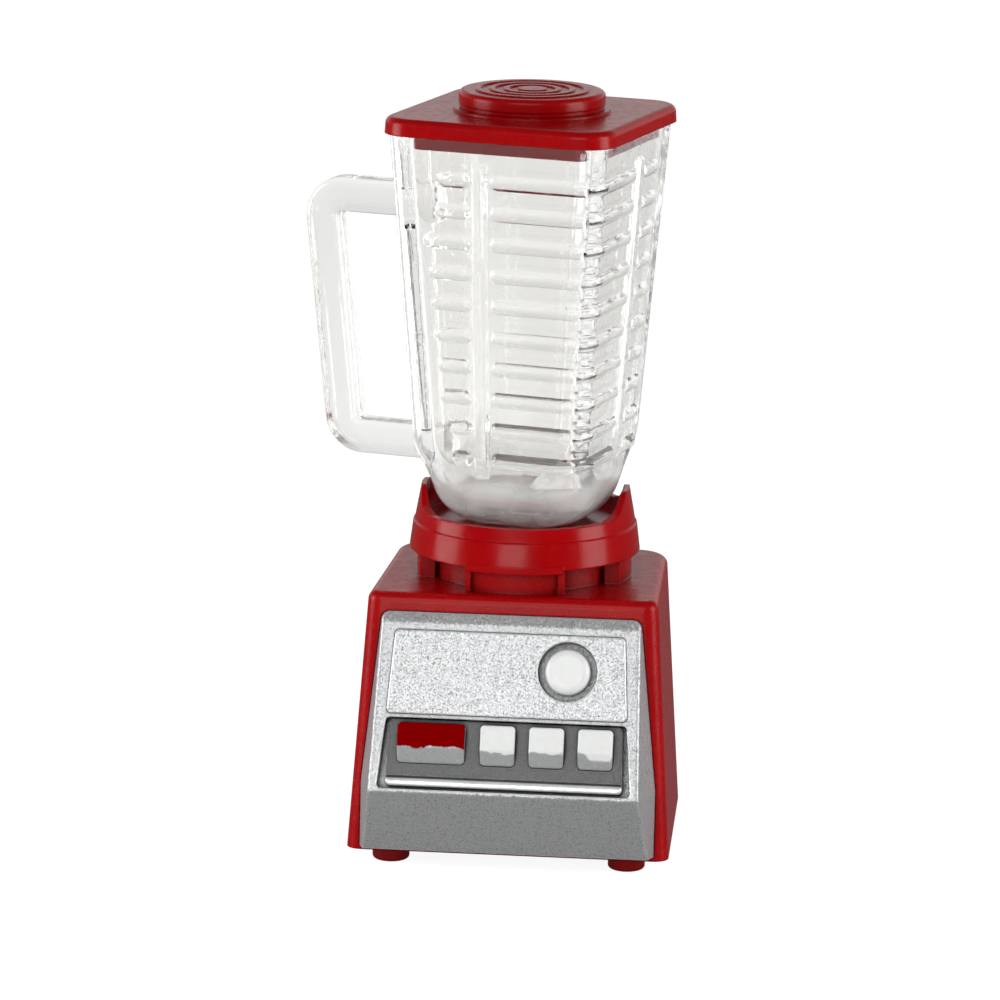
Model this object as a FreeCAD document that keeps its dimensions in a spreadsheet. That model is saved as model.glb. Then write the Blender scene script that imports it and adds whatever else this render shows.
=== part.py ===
import FreeCAD, Part
import Sketcher
import math
import os

# Toy blender in play scale. Millimetres, +Z up, origin on the table under the collar's axis.
# -Y is the front, where the control panel is.

DIMENSIONS = (
    # feet and bottom cover
    ("foot_height", 1.3, "table to the bottom of the housing"),
    ("foot_radius", 1.65, "radius of a foot"),
    ("foot_edge", 0.35, "rounding of a foot's lower edge"),
    ("foot_inset", 3.85, "middle of a foot, in from the rim's side"),
    ("foot_front_inset", 2.3, "middle of a front foot, behind the rim's front"),
    ("foot_rear_inset", 3.4, "middle of a rear foot, ahead of the rim's back"),
    ("peg_radius", 0.6, "peg of a foot"),
    ("peg_length", 1.0, "length of a foot's peg"),
    ("peg_clearance", 0.05, "radial clearance round a peg, screw or shaft in its hole"),
    ("cover_thickness", 1.2, "bottom cover"),
    ("cover_gap", 0.12, "gap round the bottom cover"),
    ("fit_gap", 0.05, "gap under a flat face that rests on a seat"),
    # housing
    ("housing_height", 23.0, "housing, from its rim to its top face"),
    ("base_half_width", 14.35, "half width of the housing's front at the rim"),
    ("base_front", 12.6, "front of the rim, forward of the axis"),
    ("base_back", 11.6, "back of the rim, behind the axis"),
    ("front_lean", 4.5, "lean of the front face, degrees"),
    ("back_lean", 3.4, "lean of the back face, degrees"),
    ("side_lean", 3.6, "lean of the side faces, degrees"),
    ("plan_taper", 1.8, "turn of each side wall towards the back, degrees"),
    ("front_corner", 1.3, "rounding of the front upright edges"),
    ("rear_corner", 3.0, "rounding of the rear upright edges"),
    ("top_edge", 0.8, "rounding round the top face"),
    ("wall", 1.3, "wall of the housing"),
    ("boss_radius", 6.75, "boss that the collar drops over"),
    ("boss_height", 3.9, "boss above the top face"),
    ("boss_wall", 1.2, "wall of the boss"),
    ("drum_radius", 8.3, "low drum round the boss, inside the lugs"),
    ("drum_gap", 0.3, "collar above that drum"),
    ("lug_height", 2.25, "lugs under the collar, above the top face"),
    ("lug_inner", 8.7, "inner radius of the lugs"),
    ("lug_outer", 9.6, "outer radius of the lugs"),
    ("lug_half_width", 4.4, "half width of a lug"),
    ("lug_rib", 0.55, "width of the ribs at a lug's ends"),
    ("lug_rib_stand", 0.3, "how far the ribs stand out"),
    ("post_radius", 1.4, "screw posts inside the housing"),
    ("post_inset", 5.35, "screw posts, in from the rim's sides"),
    ("post_front_inset", 8.0, "front posts, behind the rim's front"),
    ("post_rear_inset", 6.4, "rear posts, ahead of the rim's back"),
    ("screw_radius", 0.5, "shank of a cover screw"),
    ("screw_length", 4.6, "shank of a cover screw"),
    ("screw_head_radius", 1.0, "head of a cover screw"),
    ("screw_head_height", 0.5, "head of a cover screw"),
    # control panel, bezel
    ("panel_top_margin", 1.57, "bezel's top below the housing's top face, along the front"),
    ("panel_low", 0.45, "bezel's lower edge, above the rim"),
    ("panel_margin", 1.3, "bezel's sides beside its apron, in from the rim's sides"),
    ("panel_side_lean", 6.0, "lean of the bezel's sides above the apron, degrees"),
    ("panel_corner", 0.8, "rounding of the bezel's upper corners"),
    ("panel_draft", 14.3, "draft of the bezel's sides, degrees"),
    ("panel_gap", 0.06, "gap round the bezel in the housing"),
    ("face_height", 14.45, "bezel's sloping face, along the front"),
    ("nose_depth", 4.6, "how far the apron's upper edge stands out"),
    ("panel_top_depth", 0.6, "how far the bezel's top stands out"),
    ("panel_top_bevel", 0.85, "height of the bevel along the bezel's top"),
    ("apron_foot_depth", 1.7, "how far the apron's foot stands out"),
    ("bezel_edge", 0.3, "rounding of the bezel's outer edges"),
    ("face_wall", 2.3, "bezel behind its sloping face"),
    ("apron_wall", 1.2, "bezel behind its apron"),
    ("bezel_side_wall", 2.35, "bezel beside the space inside it"),
    ("seat_depth", 1.2, "frame behind the bezel that it is screwed to"),
    ("seat_lip", 1.9, "how far that frame reaches in behind the bezel"),
    ("seat_rise", 0.35, "that frame above the bottom cover"),
    ("small_screw_radius", 0.4, "shank of a panel screw"),
    ("small_head_radius", 0.75, "head of a panel screw"),
    ("small_head_height", 0.45, "head of a panel screw"),
    ("panel_screw_x", 6.0, "upper panel screws, to each side"),
    ("panel_screw_inset", 0.9, "upper panel screws, below the bezel's top"),
    ("low_screw_inset", 1.2, "lower panel screws, in from the bezel's sides"),
    ("low_screw_height", 4.6, "lower panel screws, above the rim"),
    # label plate and disc, measured up the sloping face from the apron's upper edge
    ("label_space", 0.3, "label plate above the window"),
    ("label_top_margin", 0.61, "label plate below the top of the sloping face"),
    ("label_margin", 2.4, "label plate's lower corners, in from the bezel's sides"),
    ("label_side_lean", 3.7, "lean of the label plate's sides, degrees"),
    ("label_thickness", 0.4, "label plate"),
    ("label_depth", 0.35, "recess that the label plate lies in"),
    ("label_gap", 0.05, "gap round the label plate"),
    ("label_corner", 0.4, "corners of the label plate"),
    ("disc_x", 5.2, "disc, to the right of the middle"),
    ("disc_drop", 3.23, "middle of the disc, below the label plate's upper edge"),
    ("disc_radius", 2.02, "disc"),
    ("disc_stand", 0.3, "disc above the label plate's recess floor plane"),
    ("disc_edge", 0.7, "rounding of the disc"),
    ("ring_radius", 2.64, "ring groove round the disc"),
    ("ring_depth", 1.1, "depth of the ring groove"),
    # tray and keys
    ("window_low", 0.3, "lower edge of the window for the tray"),
    ("window_high", 6.6, "upper edge of the window"),
    ("window_margin", 1.85, "window's lower corners, in from the bezel's sides"),
    ("window_side_lean", 5.4, "lean of the window's sides, degrees"),
    ("window_depth", 1.5, "depth of the window's ledge"),
    ("ledge_low_width", 1.2, "ledge along the window's lower edge"),
    ("ledge_high_width", 0.2, "ledge along the window's upper edge"),
    ("ledge_side_width", 1.3, "ledge at the window's sides"),
    ("tray_side_gap", 0.75, "gap beside the tray at its foot"),
    ("tray_side_lean", 2.2, "lean of the tray's sides, degrees"),
    ("tray_low_gap", 0.25, "gap below the tray"),
    ("tray_high_gap", 0.1, "gap above the tray"),
    ("tray_face", 0.45, "tray's face behind the bezel's"),
    ("tray_lip", 1.0, "height of the sloping lip at the tray's foot"),
    ("tray_lip_rise", 0.38, "rise of that lip"),
    ("tray_ridge", 0.5, "ridge of that lip, above the tray's foot"),
    ("tray_lip_round", 0.28, "rounding along that ridge"),
    ("key_low_margin", 2.35, "keys above the window's lower edge"),
    ("key_high_margin", 0.45, "keys below the window's upper edge"),
    ("key_slope_height", 1.35, "lower part of a key's face, which slopes down"),
    ("key_rise", 1.0, "key above the tray's face"),
    ("key_foot_rise", 0.2, "key's lower edge above the tray's face"),
    ("key_edge", 0.28, "rounding of a key"),
    ("key_corner", 0.36, "upright corners of a key"),
    ("key_gap", 0.05, "gap round a key in the tray"),
    ("key_flange", 0.18, "how far a key's flange reaches out"),
    ("key_flange_thickness", 0.55, "flange of a key"),
    ("key_travel", 0.5, "how far a key can be pushed"),
    ("key_row_margin", 0.97, "first and last key, in from the tray's lower corners"),
    ("stop_key_space", 1.36, "space between the wide key and the first narrow one"),
    ("speed_key_width", 3.06, "narrow key"),
    ("key_space", 1.24, "space between the narrow keys"),
    ("stem_radius", 0.35, "stem behind a key"),
    ("sleeve_pressed", 1.6, "length of a rubber sleeve when its key is pushed right in"),
    ("sleeve_radius", 0.88, "rubber sleeve round a key's stem"),
    ("sleeve_bore", 0.45, "bore of a rubber sleeve"),
    ("carrier_thickness", 0.8, "carrier plate behind the keys"),
    ("carrier_low_gap", 0.3, "carrier plate above the ledge's hole"),
    ("carrier_post_margin", 1.0, "carrier plate above the middle of its posts"),
    ("carrier_side_gap", 0.7, "gap beside the carrier plate"),
    ("carrier_post_x", 6.0, "posts of the carrier plate, to each side"),
    ("carrier_post_rise", 1.7, "posts of the carrier plate, above the window"),
    ("carrier_post_radius", 0.95, "posts of the carrier plate"),
    # collar
    ("collar_bottom_radius", 10.3, "collar at its lower edge"),
    ("collar_band_radius", 10.0, "collar at the top of its band"),
    ("collar_band_step", 0.14, "step in above the band"),
    ("collar_band_height", 2.35, "band of the collar"),
    ("collar_height", 3.6, "collar, without its ears"),
    ("collar_seat", 2.6, "seat of the jar, above the collar's lower edge"),
    ("collar_bore_gap", 0.2, "radial gap between boss and collar"),
    ("collar_floor", 0.7, "floor of the collar under the jar"),
    ("collar_hole_radius", 2.0, "hole in that floor"),
    ("collar_pocket_radius", 9.0, "pocket that the jar stands in"),
    ("ear_height", 5.6, "tips of the ears, above the collar's lower edge"),
    ("ear_tip_radius", 9.3, "outer radius at the tips of the ears"),
    ("ear_inner_radius", 8.85, "inner radius at the tips of the ears"),
    ("ear_half_width", 5.2, "half width of an ear at its foot"),
    ("ear_shoulder_half_width", 3.74, "half width of an ear at its shoulder"),
    ("ear_shoulder_rise", 0.44, "that shoulder above the collar's wall"),
    ("ear_tip_half_width", 1.77, "half width of an ear's tip before it is rounded"),
    ("ear_round", 1.32, "rounding at an ear's tip"),
    ("tab_half_width", 4.35, "half width of the tab on the collar's front"),
    ("tab_drop", 0.32, "how far the tab hangs below the collar"),
    ("tab_thickness", 0.35, "tab on the collar's front"),
    # jar
    ("jar_yaw", -15, "turn of the jar in its collar, degrees"),
    ("jar_top_half", 10.05, "half width of the jar at its mouth"),
    ("jar_height", 35.3, "jar"),
    ("jar_lean", 3.87, "lean of the jar's faces, degrees"),
    ("jar_corner", 1.95, "rounding of the jar's upright corners"),
    ("jar_foot_corner", 6.2, "rounding of those corners at the jar's foot"),
    ("jar_foot_edge", 4.0, "rounding of the jar's lower edge"),
    ("jar_foot_height", 4.2, "height of the jar's rounded foot"),
    ("jar_shoulder_height", 6.3, "height above the foot where the corners are sharp"),
    ("jar_wall", 1.75, "wall of the jar"),
    ("jar_floor", 2.2, "floor of the jar"),
    ("jar_inner_corner", 0.8, "inner corners of the jar"),
    ("jar_inner_foot_corner", 3.9, "inner corners at the jar's floor"),
    ("jar_inner_edge", 2.0, "rounding round the jar's floor inside"),
    ("handle_reach", 21.37, "outside of the handle at its top, from the axis"),
    ("handle_foot_reach", 18.7, "outside of the handle at its bottom, from the axis"),
    ("handle_low", 4.65, "underside of the handle above the jar's foot"),
    ("handle_high", 29.6, "top of the handle above the jar's foot"),
    ("handle_thickness", 3.1, "thickness of the handle's bars"),
    ("handle_width", 2.9, "width of the handle"),
    ("handle_corner", 3.4, "rounding of the handle's outer corners"),
    ("handle_inner_corner", 0.7, "rounding of the handle's inner corners"),
    ("handle_bevel", 0.6, "bevel along the handle's edges"),
    ("band_offset", 0.85, "middle of each face's raised band, off the middle of the face"),
    ("band_half_width", 0.62, "half width of that band"),
    ("band_rise", 0.22, "rise of that band"),
    ("band_low", 6.5, "foot of the bands above the jar's foot"),
    ("band_top_gap", 2.4, "top of the bands below the jar's mouth"),
    # lid and filler cap
    ("lid_half", 10.7, "half width of the lid at its lower edge"),
    ("lid_height", 1.5, "lid above the jar's mouth"),
    ("lid_corner", 3.2, "corners of the lid"),
    ("lid_draft", 4.0, "draft of the lid's sides, degrees"),
    ("lid_edge", 0.65, "rounding of the lid's upper edge"),
    ("plug_gap", 0.16, "gap between the lid's plug and the jar"),
    ("plug_depth", 1.3, "plug of the lid below the jar's mouth"),
    ("plug_corner", 0.8, "corners of the plug"),
    ("lid_hole_radius", 5.05, "hole in the lid"),
    ("lid_ring_radius", 6.98, "raised ring round the hole"),
    ("lid_ring_height", 0.22, "raised ring round the hole"),
    ("cap_radius", 6.48, "filler cap"),
    ("cap_thickness", 1.15, "disc of the filler cap"),
    ("cap_edge", 0.45, "rounding of the cap's upper edge"),
    ("cap_neck_radius", 6.4, "neck of the cap"),
    ("cap_neck_height", 0.4, "neck of the cap"),
    ("cap_plug_gap", 0.12, "radial gap round the cap's plug"),
    ("cap_plug_depth", 2.0, "cap's plug, below the lid's ring"),
    ("cap_ring_width", 0.5, "width of a ring on the cap"),
    ("cap_ring_rise", 0.12, "rise of the rings on the cap"),
    ("cap_ring_pitch", 1.25, "rings on the cap, one to the next"),
    ("cap_middle_radius", 1.3, "raised disc in the middle of the cap"),
)

CAP_RINGS = 3
SPEED_KEYS = 3
FOOT_STEPS = 5
# closeness at which two places count as the same
SAME = 1e-4
# size of a cutter over that of what it cuts through
THROUGH = 4
# least length of an edge across the handle, and least distance of the loop's edges from the jar
ACROSS = 1.0
AWAY = 1.0
# share of the jar's wall that the gap in the handle reaches into, under the surface
GAP_BURY = 0.75


class Size:
    """A length or angle: its number now, and the formula that the document keeps for it."""

    def __init__(self, number, text):
        self.number = float(number)
        self.text = text

    def _join(self, other, sign, number):
        other = as_size(other)
        return Size(number(self.number, other.number), "(%s %s %s)" % (self.text, sign, other.text))

    def __add__(self, other):
        return self._join(other, "+", lambda a, b: a + b)

    def __sub__(self, other):
        return self._join(other, "-", lambda a, b: a - b)

    def __mul__(self, other):
        return self._join(other, "*", lambda a, b: a * b)

    def __truediv__(self, other):
        return self._join(other, "/", lambda a, b: a / b)

    def __radd__(self, other):
        return as_size(other) + self

    def __rsub__(self, other):
        return as_size(other) - self

    def __rmul__(self, other):
        return as_size(other) * self

    def __neg__(self):
        return Size(-self.number, "(0 - %s)" % self.text)


def as_size(value):
    return value if isinstance(value, Size) else Size(value, repr(float(value)))


def tan(angle):
    return Size(math.tan(math.radians(angle.number)), "tan(%s)" % angle.text)


def sin(angle):
    return Size(math.sin(math.radians(angle.number)), "sin(%s)" % angle.text)


def cos(angle):
    return Size(math.cos(math.radians(angle.number)), "cos(%s)" % angle.text)


def atan(ratio):
    return Size(math.degrees(math.atan(ratio.number)), "(atan(%s) / 1 deg)" % ratio.text)


class Sizes:
    """The spreadsheet's values by name."""


doc = FreeCAD.newDocument("toy_blender")
sheet = doc.addObject("Spreadsheet::Sheet", "Sizes")
s = Sizes()
for row, (name, value, meaning) in enumerate(DIMENSIONS, start=1):
    sheet.set("A%d" % row, name)
    sheet.set("B%d" % row, str(value))
    sheet.set("C%d" % row, meaning)
    sheet.setAlias("B%d" % row, name)
    setattr(s, name, Size(value, "Sizes.%s" % name))
doc.recompute()

X = FreeCAD.Vector(1, 0, 0)
Z = FreeCAD.Vector(0, 0, 1)
ZERO = as_size(0)


# ---------------------------------------------------------------- document helpers

def new_body(label):
    return doc.addObject("PartDesign::Body", label)


def new_sketch(body, name, role, offset=None):
    """A sketch on one of the body's origin planes, moved along that plane's normal."""
    sketch = body.newObject("Sketcher::SketchObject", name)
    plane = [item for item in body.Origin.OriginFeatures if item.Role == role][0]
    sketch.AttachmentSupport = [(plane, "")]
    sketch.MapMode = "FlatFace"
    if offset is not None:
        sketch.AttachmentOffset = FreeCAD.Placement(Z * offset.number, FreeCAD.Rotation())
        sketch.setExpression("AttachmentOffset.Base.z", offset.text)
    return sketch


def pin_point(sketch, geometry, position, point):
    """Hold a point of the sketch at a place given by two sizes."""
    for kind, value in zip(("DistanceX", "DistanceY"), point):
        value = as_size(value)
        constraint = Sketcher.Constraint(kind, -1, 1, geometry, position, value.number)
        index = sketch.addConstraint(constraint)
        sketch.setExpression("Constraints[%d]" % index, value.text)


def add_polygon(sketch, points):
    """Straight lines from point to point and back to the first."""
    points = [(as_size(x), as_size(y)) for x, y in points]
    flat = [FreeCAD.Vector(x.number, y.number, 0) for x, y in points]
    first = sketch.GeometryCount
    count = len(flat)
    for i in range(count):
        sketch.addGeometry(Part.LineSegment(flat[i], flat[(i + 1) % count]))
    for i in range(count):
        sketch.addConstraint(Sketcher.Constraint("Coincident", first + i, 2, first + (i + 1) % count, 1))
    for i in range(count):
        pin_point(sketch, first + i, 1, points[i])
    return sketch


def add_circle(sketch, centre, radius):
    radius = as_size(radius)
    x, y = (as_size(value) for value in centre)
    middle = FreeCAD.Vector(x.number, y.number, 0)
    index = sketch.addGeometry(Part.Circle(middle, Z, radius.number))
    pin_point(sketch, index, 3, (x, y))
    held = sketch.addConstraint(Sketcher.Constraint("Radius", index, radius.number))
    sketch.setExpression("Constraints[%d]" % held, radius.text)
    return sketch


def add_rounded_square(sketch, half, radius):
    """A square about the origin with round corners: four lines, four tangent arcs."""
    half = as_size(half)
    radius = as_size(radius)
    a = half.number
    r = radius.number
    b = a - r
    corners = ((b, -b), (b, b), (-b, b), (-b, -b))
    ends = (((-b, -a), (b, -a)), ((a, -b), (a, b)), ((b, a), (-b, a)), ((-a, b), (-a, -b)))
    lines = []
    arcs = []
    for start, end in ends:
        line = Part.LineSegment(FreeCAD.Vector(*start, 0), FreeCAD.Vector(*end, 0))
        lines.append(sketch.addGeometry(line))
    for i, (x, y) in enumerate(corners):
        circle = Part.Circle(FreeCAD.Vector(x, y, 0), Z, r)
        start = math.radians(-90 + 90 * i)
        arcs.append(sketch.addGeometry(Part.ArcOfCircle(circle, start, start + math.pi / 2)))
    for i in range(4):
        sketch.addConstraint(Sketcher.Constraint("Tangent", lines[i], 2, arcs[i], 1))
        sketch.addConstraint(Sketcher.Constraint("Tangent", arcs[i], 2, lines[(i + 1) % 4], 1))
        sketch.addConstraint(Sketcher.Constraint("Horizontal" if i % 2 == 0 else "Vertical", lines[i]))
    for i in range(1, 4):
        sketch.addConstraint(Sketcher.Constraint("Equal", arcs[0], arcs[i]))
    held = sketch.addConstraint(Sketcher.Constraint("Radius", arcs[0], r))
    sketch.setExpression("Constraints[%d]" % held, radius.text)
    for i in range(4):
        kind = "DistanceY" if i % 2 == 0 else "DistanceX"
        value = half * (-1, 1, 1, -1)[i]
        held = sketch.addConstraint(Sketcher.Constraint(kind, -1, 1, lines[i], 1, value.number))
        sketch.setExpression("Constraints[%d]" % held, value.text)
    return sketch


def feature(body, kind, name, sketch, **sizes):
    """A sketch-based feature whose sizes follow the sheet."""
    item = body.newObject("PartDesign::%s" % kind, name)
    item.Profile = sketch
    for key, value in sizes.items():
        if isinstance(value, Size):
            item.setExpression(key, value.text)
        else:
            setattr(item, key, value)
    return item


def pad(body, name, sketch, length, **sizes):
    return feature(body, "Pad", name, sketch, Length=as_size(length), **sizes)


def pocket(body, name, sketch, length, **sizes):
    return feature(body, "Pocket", name, sketch, Length=as_size(length), **sizes)


def revolve(body, name, sketch):
    """Turn a profile drawn on the XZ plane about the body's Z axis."""
    item = body.newObject("PartDesign::Revolution", name)
    item.Profile = sketch
    item.ReferenceAxis = (sketch, ["V_Axis"])
    item.Angle = 360
    return item


def loft(body, kind, name, sketches):
    item = body.newObject("PartDesign::%s" % kind, name)
    item.Profile = sketches[0]
    item.Sections = sketches[1:]
    item.Ruled = True
    return item


def dress(body, kind, name, size_name, size, chosen):
    """A fillet or chamfer on the edges of the body's tip that the test picks."""
    doc.recompute()
    base = body.Tip
    names = ["Edge%d" % (i + 1) for i, edge in enumerate(base.Shape.Edges) if chosen(edge)]
    item = body.newObject("PartDesign::%s" % kind, name)
    item.Base = (base, names)
    item.setExpression(size_name, size.text)
    return item


def draft(body, name, angle, chosen):
    """Lean the faces whose normal the test picks, about the body's own XY plane."""
    doc.recompute()
    base = body.Tip
    faces = base.Shape.Faces
    names = ["Face%d" % (i + 1) for i, face in enumerate(faces) if chosen(face.normalAt(0, 0))]
    item = body.newObject("PartDesign::Draft", name)
    item.Base = (base, names)
    item.NeutralPlane = ([plane for plane in body.Origin.OriginFeatures if plane.Role == "XY_Plane"][0], [""])
    item.setExpression("Angle", angle.text)
    return item


def fillet(body, name, size, chosen):
    return dress(body, "Fillet", name, "Radius", size, chosen)


def chamfer(body, name, size, chosen):
    return dress(body, "Chamfer", name, "Size", size, chosen)


def place(item, x=ZERO, y=ZERO, z=ZERO, axis=None, angle=ZERO):
    """Bind an object's placement to the sheet."""
    x, y, z, angle = (as_size(value) for value in (x, y, z, angle))
    spot = FreeCAD.Vector(x.number, y.number, z.number)
    item.Placement = FreeCAD.Placement(spot, FreeCAD.Rotation(axis or Z, angle.number))
    for key, value in (("x", x), ("y", y), ("z", z)):
        item.setExpression("Placement.Base.%s" % key, value.text)
    if axis is not None:
        item.setExpression("Placement.Rotation.Angle", angle.text)
    return item


def cylinder(name, radius, height, x=ZERO, y=ZERO, z=ZERO):
    item = doc.addObject("Part::Cylinder", name)
    item.setExpression("Radius", as_size(radius).text)
    item.setExpression("Height", as_size(height).text)
    return place(item, x, y, z)


def fuse(name, shapes):
    item = doc.addObject("Part::MultiFuse", name)
    item.Shapes = shapes
    return item


def cut(name, base, tool):
    item = doc.addObject("Part::Cut", name)
    item.Base = base
    item.Tool = tool
    return item


def common(name, first, second):
    item = doc.addObject("Part::MultiCommon", name)
    item.Shapes = [first, second]
    return item


def group(name, shapes):
    item = doc.addObject("Part::Compound", name)
    item.Links = shapes
    return item


def upright(edge):
    """True for an edge that climbs more than it runs."""
    first, last = edge.Vertexes[0].Point, edge.Vertexes[-1].Point
    run = last - first
    return abs(run.z) > 0.8 * run.Length and run.Length > 0


def highest(shape_edge, height):
    """True for an edge that lies at a height in its body's own frame."""
    return all(abs(vertex.Z - height.number) < SAME for vertex in shape_edge.Vertexes)


# ---------------------------------------------------------------- shared places and formulas

rim = s.foot_height
top = rim + s.housing_height
collar_z = top + s.lug_height
jar_z = collar_z + s.collar_seat
mouth_z = jar_z + s.jar_height
lid_top = mouth_z + s.lid_height
cap_seat = lid_top + s.lid_ring_height
cap_top = cap_seat + s.cap_neck_height + s.cap_thickness

# What stands in from the housing's rim: the feet, the cover's posts and the bezel.
foot_x = s.base_half_width - s.foot_inset
foot_front = s.base_front - s.foot_front_inset
foot_rear = s.base_back - s.foot_rear_inset
post_x = s.base_half_width - s.post_inset
post_front = s.base_front - s.post_front_inset
post_rear = s.base_back - s.post_rear_inset
panel_height = s.housing_height / cos(s.front_lean) - s.panel_top_margin
panel_half_width = s.base_half_width - s.panel_margin
bezel_cavity_half_width = panel_half_width - s.bezel_side_wall
low_screw_x = panel_half_width - s.low_screw_inset

# The bezel's face: it slopes out from the bezel's top down to the apron's upper edge.
nose_height = panel_height - s.panel_top_bevel - s.face_height
face_steepness = (s.nose_depth - s.panel_top_depth) / s.face_height
face_slope = atan(face_steepness)
apron_steepness = (s.nose_depth - s.apron_foot_depth) / (nose_height - s.panel_low)
face_angle = s.front_lean + face_slope
nose_y = nose_height * sin(s.front_lean) - s.nose_depth * cos(s.front_lean) - s.base_front
nose_z = rim + nose_height * cos(s.front_lean) + s.nose_depth * sin(s.front_lean)

# On the sloping face, from its lower edge up: the window with its ledge, tray and keys, then the label.
window_half_width = panel_half_width - s.window_margin
ledge_low = s.window_low + s.ledge_low_width
ledge_high = s.window_high - s.ledge_high_width
ledge_half_width = window_half_width - s.ledge_side_width
label_low = s.window_high + s.label_space
label_high = s.face_height / cos(face_slope) - s.label_top_margin
label_half_width = panel_half_width - s.label_margin
disc_up = label_high - s.disc_drop
tray_half_width = window_half_width - s.tray_side_gap
key_low = s.window_low + s.key_low_margin
key_high = s.window_high - s.key_high_margin
key_break = key_low + s.key_slope_height
key_row_half = tray_half_width - s.key_row_margin
speed_key_pitch = s.speed_key_width + s.key_space
speed_key_x = key_row_half - s.speed_key_width / 2 - speed_key_pitch * (SPEED_KEYS - 1)
stop_key_right = speed_key_x - s.speed_key_width / 2 - s.stop_key_space
stop_key_width = stop_key_right + key_row_half
stop_key_x = (stop_key_right - key_row_half) / 2
carrier_low = ledge_low + s.carrier_low_gap
carrier_post_up = s.window_high + s.carrier_post_rise
carrier_high = carrier_post_up + s.carrier_post_margin
carrier_half_width = ledge_half_width - s.carrier_side_gap
stop_back = s.window_depth + s.fit_gap
flange_back = stop_back + s.key_flange_thickness
carrier_front = flange_back + s.sleeve_pressed + s.key_travel
carrier_back = carrier_front + s.carrier_thickness


def on_front(item):
    """Place an object whose own XY plane is the housing's front face, its foot at the rim."""
    return place(item, ZERO, -s.base_front, rim, X, 90 - s.front_lean)


def on_face(item):
    """Place an object whose own XY plane is the bezel's sloping face, its foot at the apron."""
    return place(item, ZERO, nose_y, nose_z, X, 90 - face_angle)


def trapezoid(low, high, half, lean):
    """Corners of a symmetric outline whose sides lean in from its lower edge."""
    narrow = half - (high - low) * tan(lean)
    return ((-half, low), (half, low), (narrow, high), (-narrow, high))


def panel_outline(low, high, grow):
    """The bezel's outline on the housing's front: upright beside the apron, leaning in above it."""
    half = panel_half_width + grow
    narrow = half - (high - nose_height) * tan(s.panel_side_lean)
    return ((-half, low), (half, low), (half, nose_height), (narrow, high), (-narrow, high),
            (-half, nose_height))


def housing_outline(height, inset):
    """Plan of the housing at a height above its rim, moved in by a wall."""
    front = s.base_front - height * tan(s.front_lean) - inset
    back = s.base_back - height * tan(s.back_lean) - inset
    front_half = s.base_half_width - height * tan(s.side_lean) - inset
    back_half = front_half - (front + back) * tan(s.plan_taper)
    return ((-front_half, -front), (front_half, -front), (back_half, back), (-back_half, back))


# ---------------------------------------------------------------- feet and bottom cover

def make_foot(label, side, y):
    body = new_body(label)
    disc = add_circle(new_sketch(body, label + "_disc", "XY_Plane"), (ZERO, ZERO), s.foot_radius)
    pad(body, label + "_pad", disc, s.foot_height)
    fillet(body, label + "_edge", s.foot_edge, lambda edge: highest(edge, ZERO))
    peg = new_sketch(body, label + "_peg", "XY_Plane", s.foot_height)
    pad(body, label + "_stub", add_circle(peg, (ZERO, ZERO), s.peg_radius), s.peg_length)
    return place(body, foot_x * side, y)


def foot_places():
    return ((-1, -foot_front, "front_left"), (1, -foot_front, "front_right"),
            (-1, foot_rear, "rear_left"), (1, foot_rear, "rear_right"))


def post_places():
    return ((-post_x, -post_front), (post_x, -post_front),
            (-post_x, post_rear), (post_x, post_rear))


def make_bottom_cover():
    body = new_body("bottom_cover")
    inset = s.wall + s.cover_gap
    outline = add_polygon(new_sketch(body, "cover_outline", "XY_Plane", rim), housing_outline(ZERO, inset))
    pad(body, "cover_plate", outline, s.cover_thickness)
    pegs = new_sketch(body, "cover_peg_holes", "XY_Plane", rim)
    for side, y, _ in foot_places():
        add_circle(pegs, (foot_x * side, y), s.peg_radius + s.peg_clearance)
    pocket(body, "cover_pegs", pegs, s.cover_thickness, Reversed=True)
    holes = new_sketch(body, "cover_screw_holes", "XY_Plane", rim)
    heads = new_sketch(body, "cover_head_seats", "XY_Plane", rim)
    for x, y in post_places():
        add_circle(holes, (x, y), s.screw_radius + s.peg_clearance)
        add_circle(heads, (x, y), s.screw_head_radius + s.peg_clearance)
    pocket(body, "cover_screws_through", holes, s.cover_thickness, Reversed=True)
    pocket(body, "cover_seats", heads, s.screw_head_height + s.fit_gap, Reversed=True)
    return body


def make_cover_screws():
    screws = []
    for i, (x, y) in enumerate(post_places()):
        low = rim + s.fit_gap
        high = low + s.screw_head_height
        head = cylinder("cover_screw_head_%d" % i, s.screw_head_radius, s.screw_head_height, x, y, low)
        shank = cylinder("cover_screw_shank_%d" % i, s.screw_radius, s.screw_length, x, y, high)
        screws.append(fuse("cover_screw_%d" % i, [head, shank]))
    return group("cover_screws", screws)


# ---------------------------------------------------------------- housing

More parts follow.
